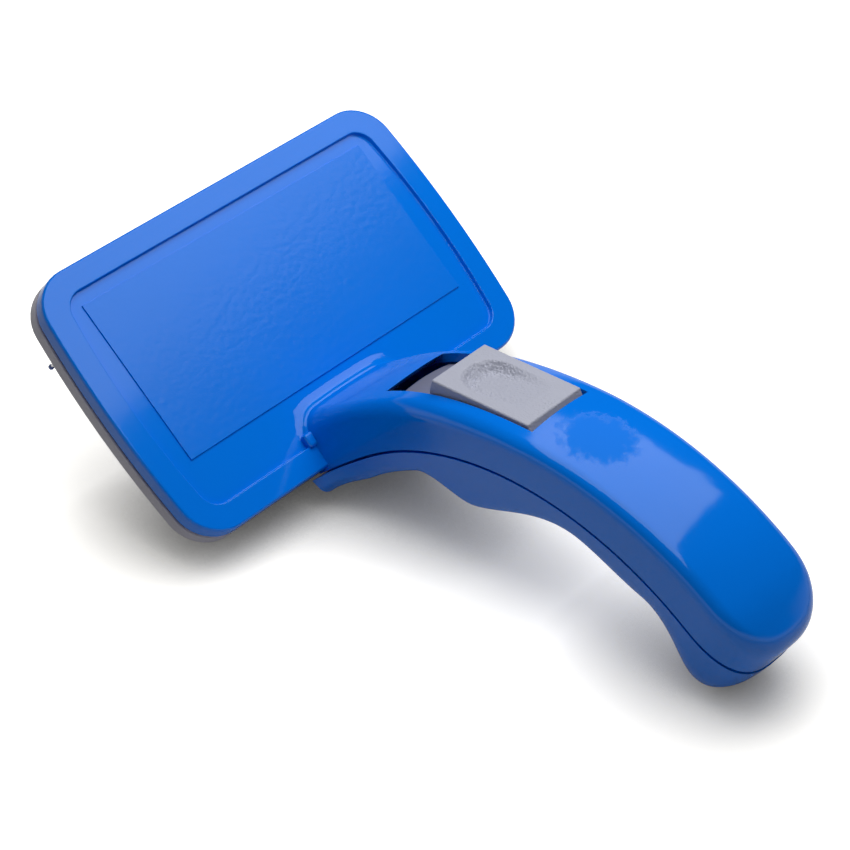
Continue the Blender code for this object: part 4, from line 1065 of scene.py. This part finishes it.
def button():
    """The wedge with its dish, as a closed solid in the track's frame."""
    bm = bmesh.new()
    grid = bmesh.ops.create_grid(bm, x_segments=GRID_ACROSS, y_segments=GRID_ALONG, size=0.5)["verts"]
    for vert in grid:
        place, distance = rounded_plan(math.sin(math.pi * vert.co.x), math.sin(math.pi * vert.co.y))
        sunk, stipple = dish_depth(place)
        slope = place.y / BUTTON_LENGTH + 0.5
        height = BUTTON_REAR_TOP + (BUTTON_FRONT_TOP + BUTTON_LIFT - BUTTON_REAR_TOP) * slope
        grain = noise.noise(Vector((place.x, place.y, sunk)) * STIPPLE_SCALE) * stipple
        drawn_back = REAR_SLANT_TOP * (1 - slope) - FRONT_SLANT_TOP * slope
        vert.co = (place.x, BUTTON_REAR + BUTTON_LENGTH * slope + drawn_back,
                   height - roll_off(distance, BUTTON_ROUND) - sunk + grain)
    middle = (BUTTON_REAR + BUTTON_FRONT) / 2
    for fall in (SLANT_DROP, None):
        rim = [edge for edge in bm.edges if edge.is_boundary]
        drawn = bmesh.ops.extrude_edge_only(bm, edges=rim)["geom"]
        for vert in (part for part in drawn if isinstance(part, bmesh.types.BMVert)):
            if fall is None:
                vert.co.z = TONGUE_TOP - OVERLAP
                continue
            ahead = (vert.co.y - middle) * 2 / BUTTON_LENGTH
            vert.co.y += FRONT_SLANT * ease(ahead, *FRONT_EDGE) - REAR_SLANT * ease(-ahead, *REAR_EDGE)
            vert.co.z -= fall
    bmesh.ops.contextual_create(bm, geom=[edge for edge in bm.edges if edge.is_boundary])
    bmesh.ops.recalc_face_normals(bm, faces=bm.faces)
    return bm


# %% Join the button to its tongue, spring lug and fork
TONGUE_THICKNESS = 2.0 * MM
TONGUE_LOW = TONGUE_TOP - TONGUE_THICKNESS
TONGUE_SIDE_GAP = 1.2 * MM
TONGUE_HALF_WIDTH = GRIP_HALF_WIDTH - WALL - TONGUE_SIDE_GAP
TONGUE_NOSE_LENGTH = 3.5 * MM
TONGUE_NOSE_HALF_WIDTH = 6 * MM
DRIVE_PIN_RADIUS = 0.75 * MM
DRIVE_PIN_SETBACK = 1.1 * MM
DRIVE_PIN_Y = NEAR_EDGE - DRIVE_PIN_SETBACK
DRIVE_PIN_Z = 6.0 * MM
FORK_THICKNESS = 2.0 * MM
FORK_HALF_DEPTH = 1.3 * MM
SPRING_RADIUS = 2.1 * MM
SPRING_AXIS = -3.7 * MM
SEAT_THICKNESS = 2.0 * MM
SEAT_HALF_WIDTH = 4 * MM
LUG_FRONT = BUTTON_REAR + SEAT_THICKNESS
to_track = TRACK.inverted()
tongue_middle = TRACK @ Vector((0, 0, (TONGUE_LOW + TONGUE_TOP) / 2))
fork_height = tongue_middle.z - (DRIVE_PIN_Y - tongue_middle.y) / math.tan(math.radians(TRACK_ANGLE))
fork_root = to_track @ Vector((0, DRIVE_PIN_Y, fork_height))
slide = button()
for half_width, front in ((TONGUE_HALF_WIDTH, fork_root.y - TONGUE_NOSE_LENGTH),
                          (TONGUE_NOSE_HALF_WIDTH, fork_root.y)):
    tongue = box((-half_width, BUTTON_REAR, TONGUE_LOW), (half_width, front, TONGUE_TOP))
    slide = combine(slide, tongue, "UNION")
lug = box((-SEAT_HALF_WIDTH, BUTTON_REAR, SPRING_AXIS - SPRING_RADIUS),
          (SEAT_HALF_WIDTH, LUG_FRONT, TONGUE_LOW + OVERLAP))
slide = combine(slide, lug, "UNION")
cheek = LIFTER_HALF_THICKNESS + CLEARANCE
for side in (-1, 1):
    reach = sorted((side * cheek, side * (cheek + FORK_THICKNESS)))
    arm = box((reach[0], DRIVE_PIN_Y - FORK_HALF_DEPTH, DRIVE_PIN_Z - FORK_HALF_DEPTH),
              (reach[1], DRIVE_PIN_Y + FORK_HALF_DEPTH, fork_height))
    arm.transform(to_track)
    slide = combine(slide, arm, "UNION")
pin_reach = cheek + FORK_THICKNESS
eye = rods([(DRIVE_PIN_RADIUS + CLEARANCE, (-pin_reach - OVERLAP, DRIVE_PIN_Y, DRIVE_PIN_Z),
             (pin_reach + OVERLAP, DRIVE_PIN_Y, DRIVE_PIN_Z))])
eye.transform(to_track)
slide = combine(slide, eye, "DIFFERENCE")
finish_piece(slide, "thumb_slide_skin", HEAD @ TRACK, [slide_matte], "slide", ["thumb_slide"])

# %% [markdown]
# ## The slot's strip
# In front of the button a thin grey strip closes the slot, so that no hair gets in. On the real brush it is
# a limp tongue that bends under the shell as the button comes forward. Here it is one fixed piece with a
# mesh of its own.

# %% Shape the slot's strip
STRIP_DEPTH = 2.4 * MM
STRIP_THICKNESS = 0.7 * MM
STRIP_REAR = BUTTON_FRONT - FRONT_SLANT_TOP + FRONT_SLANT + CLEARANCE
STRIP_FRONT = SLOT_FRONT
STRIP_STEPS = 24
STRIP_CROSS_STEPS = 12


def strip_point(x, y, depth):
    """A point at a depth under the shell's crowned top, by its place in the track's frame."""
    turn = math.atan2(y, ARCH_RADIUS + GRIP_TOP)
    angle = TRACK_ANGLE - math.degrees(turn)
    width = grip_half_width(angle)
    reach = ARCH_RADIUS + grip_top(angle) - crown(angle) * (x / width) ** 2 - depth
    return Vector((x, reach * math.sin(turn), reach * math.cos(turn) - ARCH_RADIUS))


strip_half = BUTTON_WIDTH / 2 + SLIDE_FIT - CLEARANCE
strip_length = STRIP_FRONT - STRIP_REAR
across = [strip_half * (2 * number / STRIP_CROSS_STEPS - 1) for number in range(STRIP_CROSS_STEPS + 1)]
strip_sections = []
for step in range(STRIP_STEPS + 1):
    y = STRIP_REAR + strip_length * step / STRIP_STEPS
    top = [strip_point(x, y, STRIP_DEPTH) for x in across]
    low = [strip_point(x, y, STRIP_DEPTH + STRIP_THICKNESS) for x in reversed(across)]
    strip_sections.append(top + low)
slot_strip = finish_piece(loft(strip_sections), "slot_strip", HEAD @ TRACK, [strip_grey_with_painted_shade], "brush_body", [])
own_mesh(slot_strip)

# %% [markdown]
# ## The stripper plate and the pins
# Under the head a grey tray slides along the pins and pushes the hair off them. Its floor has a round hole
# for every pin. Pins stand in staggered columns, and leave room for the screws and the lifter.

# %% Find the pins' places
PIN_COLUMN_PITCH = 2.4 * MM
PIN_ROW_PITCH = 6 * MM
PIN_SIDE_MARGIN = 6 * MM
PIN_EDGE_MARGIN = 7.5 * MM
PIN_RADIUS = 0.35 * MM
PIN_HOLE_RADIUS = 1.1 * MM
WASHER_HEAD_RADIUS = 3.5 * MM
LIFTER_FOOT_HALF_WIDTH = 11 * MM
LIFTER_FOOT_FRONT = NEAR_EDGE + 11 * MM
FAR_DRAW = 0.004
NEAR_DRAW = 0.058
DRAW_ROWS = (11 * MM, 17 * MM)
PIN_TO_SCREW = 1.35 * MM


def pin_places():
    """Staggered columns, drawn in towards the handle, with gaps round the screws and the lifter."""
    field_width = HEAD_WIDTH - 2 * PIN_SIDE_MARGIN
    columns = int(field_width / PIN_COLUMN_PITCH) + 1
    rows = int((-2 * NEAR_EDGE - 2 * PIN_EDGE_MARGIN + WELD) / PIN_ROW_PITCH) + 1
    places = []
    for column in range(columns):
        for row in range(rows):
            y = NEAR_EDGE + PIN_EDGE_MARGIN + PIN_ROW_PITCH * (row + 0.5 * (column % 2))
            drawn_in = NEAR_DRAW + (FAR_DRAW - NEAR_DRAW) * ease(y, *DRAW_ROWS)
            x = field_width * (column / (columns - 1) - 0.5) * (1 - drawn_in)
            near_screw = any(math.hypot(x - sx, y - sy) < WASHER_HEAD_RADIUS + PIN_TO_SCREW
                             for sx, sy in BASE_SCREW_PLACES)
            near_lifter = (abs(x) < LIFTER_FOOT_HALF_WIDTH + PIN_HOLE_RADIUS + CLEARANCE
                           and y < LIFTER_FOOT_FRONT + PIN_HOLE_RADIUS + CLEARANCE)
            if not near_screw and not near_lifter:
                places.append((x, y))
    return places


PLACES = pin_places()
print("pins:", len(PLACES))

# %% Shape the plate and drill it
PLATE_GAP = 0.5 * MM
PLATE_HEIGHT = 3.6 * MM
PLATE_FLOOR = 1.2 * MM
PLATE_TOP = -COVER_HEIGHT - PLATE_GAP
PLATE_BOTTOM = PLATE_TOP - PLATE_HEIGHT
PLATE_FLOOR_TOP = PLATE_BOTTOM + PLATE_FLOOR
PLATE_ROUND = 0.8 * MM
PLATE_STEPS = 5
HOLE_SIDES = 12
LIFTER_SCREW_X = 7.5 * MM
LIFTER_SCREW_Y = (NEAR_EDGE + WALL + CLEARANCE + LIFTER_FOOT_FRONT) / 2
LIFTER_SCREW_PLACES = [(-LIFTER_SCREW_X, LIFTER_SCREW_Y), (LIFTER_SCREW_X, LIFTER_SCREW_Y)]
profile = [(WALL, PLATE_FLOOR_TOP), (WALL, PLATE_TOP), (LIP_ROUND, PLATE_TOP), (0, PLATE_TOP - LIP_ROUND)]
profile += rounding((0, PLATE_BOTTOM + PLATE_ROUND), (PLATE_ROUND, PLATE_BOTTOM), PLATE_STEPS)
plate = loft([head_outline(inset, z) for inset, z in profile])
through = (PLATE_BOTTOM - OVERLAP, PLATE_FLOOR_TOP + OVERLAP)
drilled = uprights(PIN_HOLE_RADIUS, PLACES, *through)
plate = combine(plate, rods(drilled, HOLE_SIDES), "DIFFERENCE")
bored = uprights(SHANK_RADIUS + CLEARANCE, LIFTER_SCREW_PLACES, *through)
plate = combine(plate, rods(bored), "DIFFERENCE")
finish_piece(plate, "stripper_plate_skin", HEAD, [plate_satin], "plate", ["stripper_plate"])

# %% Stand the pins in their rows
BASE_THICKNESS = 1.2 * MM
BASE_BOTTOM = CEILING - CLEARANCE - BASE_THICKNESS
BED_THICKNESS = 1.0 * MM
BED_TOP = BASE_BOTTOM - CLEARANCE
BED_BOTTOM = BED_TOP - BED_THICKNESS
BED_INSET = WALL + 2.5 * CLEARANCE
TIP_REACH = 10.75 * MM
TIP_RADIUS = 0.65 * MM
PIN_TIP = PLATE_BOTTOM - TIP_REACH
wire_length = BED_TOP - PIN_TIP - TIP_RADIUS
pins = bmesh.new()
for x, y in PLACES:
    stand = Matrix.Translation((x, y, BED_TOP - wire_length / 2))
    bmesh.ops.create_cone(pins, cap_ends=True, segments=6, radius1=PIN_RADIUS, radius2=PIN_RADIUS,
                          depth=wire_length, matrix=stand)
    ball = bmesh.ops.create_uvsphere(pins, u_segments=8, v_segments=6, radius=TIP_RADIUS,
                                     matrix=Matrix.Translation((x, y, PIN_TIP + TIP_RADIUS)))["verts"]
    for face in {face for vert in ball for face in vert.link_faces}:
        face.material_index = 1
finish_piece(pins, "pin_wires", HEAD, [bright_steel, tip_blue], "brush_body", ["pin_bed"])

# %% Shape the cushion
cushion = loft([head_outline(BED_INSET, z) for z in (BED_BOTTOM, BED_TOP)])
clear = uprights(WASHER_HEAD_RADIUS + CLEARANCE, BASE_SCREW_PLACES, BED_BOTTOM - OVERLAP,
                 BED_TOP + OVERLAP)
cushion = combine(cushion, rods(clear), "DIFFERENCE")
notch = box((-LIFTER_FOOT_HALF_WIDTH - SLIDE_FIT, -HEAD_DEPTH, PIN_TIP),
            (LIFTER_FOOT_HALF_WIDTH + SLIDE_FIT, LIFTER_FOOT_FRONT + SLIDE_FIT, 0))
cushion = combine(cushion, notch, "DIFFERENCE")
finish_piece(cushion, "pin_cushion", HEAD, [cushion_rubber], "brush_body", ["pin_bed"])

# %% [markdown]
# ## Screws, drive pin and spring
# The small metal pieces hardly show, but two screw heads can be seen in the wells under the handle and two
# under the plate. A screw is one profile spun about its axis, with a cross cut into its head.

# %% Turn the screws
SCREW_HEAD_HEIGHT = 1.6 * MM
WASHER_HEAD_HEIGHT = 1.0 * MM
CROSS_HALF_WIDTH = 0.35 * MM
CROSS_SHARE = 0.62
CROSS_DEPTH = 0.55
HEAD_DOME = ((0, 1), (0.55, 1), (0.85, 0.8), (1, 0.4), (1, 0))


def spun(profile, steps=32):
    """A solid of revolution about Z, from a profile that starts and ends on the axis."""
    bm = bmesh.new()
    verts = [bm.verts.new((radius, 0, z)) for radius, z in profile]
    edges = [bm.edges.new(pair) for pair in zip(verts, verts[1:])]
    bmesh.ops.spin(bm, geom=verts + edges, cent=(0, 0, 0), axis=(0, 0, 1), angle=2 * math.pi,
                   steps=steps, use_merge=True)
    bmesh.ops.remove_doubles(bm, verts=bm.verts, dist=WELD)
    bmesh.ops.recalc_face_normals(bm, faces=bm.faces)
    return bm


def screw(head_radius, head_height, reach):
    """A cross-head screw, whose seat is at the origin, with its head on +Z."""
    turned_head = [(head_radius * out, head_height * up) for out, up in HEAD_DOME]
    shank = [(SHANK_RADIUS, 0), (SHANK_RADIUS, -reach + SHANK_RADIUS), (0, -reach)]
    bm = spun(turned_head + shank)
    long = head_radius * CROSS_SHARE
    for half_x, half_y in ((long, CROSS_HALF_WIDTH), (CROSS_HALF_WIDTH, long)):
        cut = box((-half_x, -half_y, head_height * (1 - CROSS_DEPTH)), (half_x, half_y, 2 * head_height))
        bm = combine(bm, cut, "DIFFERENCE")
    return bm


def set_screw(name, body, place, turn, turned):
    """Finish a turned screw at a place, with its head swung from +Z about X by a turn."""
    stand = Matrix.Translation(place) @ Matrix.Rotation(turn, 4, "X")
    finish_piece(turned, name + "_turned", HEAD @ stand, [bright_steel], body, [name])


# %% Set the screws
BASE_SCREW_REACH = 2.1 * MM
LIFTER_SCREW_REACH = 4.4 * MM
for number, (x, y) in enumerate(BASE_SCREW_PLACES):
    set_screw(f"base_screw_{number + 1}", "brush_body", (x, y, BASE_BOTTOM - CLEARANCE), math.pi,
              screw(WASHER_HEAD_RADIUS, WASHER_HEAD_HEIGHT, BASE_SCREW_REACH))
for side, (x, y) in zip(("left", "right"), LIFTER_SCREW_PLACES):
    set_screw(f"lifter_screw_{side}", "plate", (x, y, PLATE_BOTTOM - CLEARANCE), math.pi,
              screw(SCREW_HEAD_RADIUS, WASHER_HEAD_HEIGHT, LIFTER_SCREW_REACH))
for name, angle in GRIP_SCREW_ANGLES.items():
    set_screw(name, "brush_body", arch_point(angle, -GRIP_HEAD_SEAT - CLEARANCE), math.radians(angle + 90),
              screw(SCREW_HEAD_RADIUS, SCREW_HEAD_HEIGHT, GRIP_SCREW_REACH + GRIP_HEAD_SEAT))

# %% Turn the drive pin
PIN_CHAMFER = 0.2 * MM
end_radius = DRIVE_PIN_RADIUS - PIN_CHAMFER
straight = pin_reach - PIN_CHAMFER
pin_profile = [(0, -pin_reach), (end_radius, -pin_reach), (DRIVE_PIN_RADIUS, -straight),
               (DRIVE_PIN_RADIUS, straight), (end_radius, pin_reach), (0, pin_reach)]
crosswise = Matrix.Translation((0, DRIVE_PIN_Y, DRIVE_PIN_Z)) @ Matrix.Rotation(math.pi / 2, 4, "Y")
finish_piece(spun(pin_profile), "drive_pin_turned", HEAD @ crosswise, [bright_steel], "slide",
             ["drive_pin"])

# %% Wind the return spring
SPRING_WIRE = 0.35 * MM
SPRING_LENGTH = 20 * MM
SPRING_TURNS = 9
SPRING_STEPS = 24
SPRING_REAR = LUG_FRONT + CLEARANCE
coil = bmesh.new()
run = SPRING_LENGTH - 2 * SPRING_WIRE
wire_place = Matrix.Translation((SPRING_RADIUS, 0, SPRING_WIRE)) @ Matrix.Rotation(math.pi / 2, 4, "X")
bmesh.ops.create_circle(coil, cap_ends=True, segments=10, radius=SPRING_WIRE, matrix=wire_place)
steps = SPRING_TURNS * SPRING_STEPS
bmesh.ops.spin(coil, geom=coil.verts[:] + coil.edges[:] + coil.faces[:], cent=(0, 0, 0), axis=(0, 0, 1),
               dvec=(0, 0, run / steps), angle=2 * math.pi * SPRING_TURNS, steps=steps)
bmesh.ops.recalc_face_normals(coil, faces=coil.faces)
lie = Matrix.Translation((0, SPRING_REAR, SPRING_AXIS)) @ Matrix.Rotation(-math.pi / 2, 4, "X")
return_spring = finish_piece(coil, "return_spring_coil", HEAD @ TRACK @ lie, [bright_steel], "brush_body",
                             ["return_spring"])
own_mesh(return_spring)

# %% [markdown]
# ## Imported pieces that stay
# The pin base and the lifter are flat-sided and hidden under the cover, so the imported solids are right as
# they are and only need their finish.

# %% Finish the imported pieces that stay
for name, material, slot_name in (("pin_base", base_white, "white_plastic"),
                                  ("lifter", plate_satin, "grey_plastic")):
    held = frame["nodes"][name]
    held.data.materials.clear()
    held.data.materials.append(material)
    print(name, "finish:", material.name)
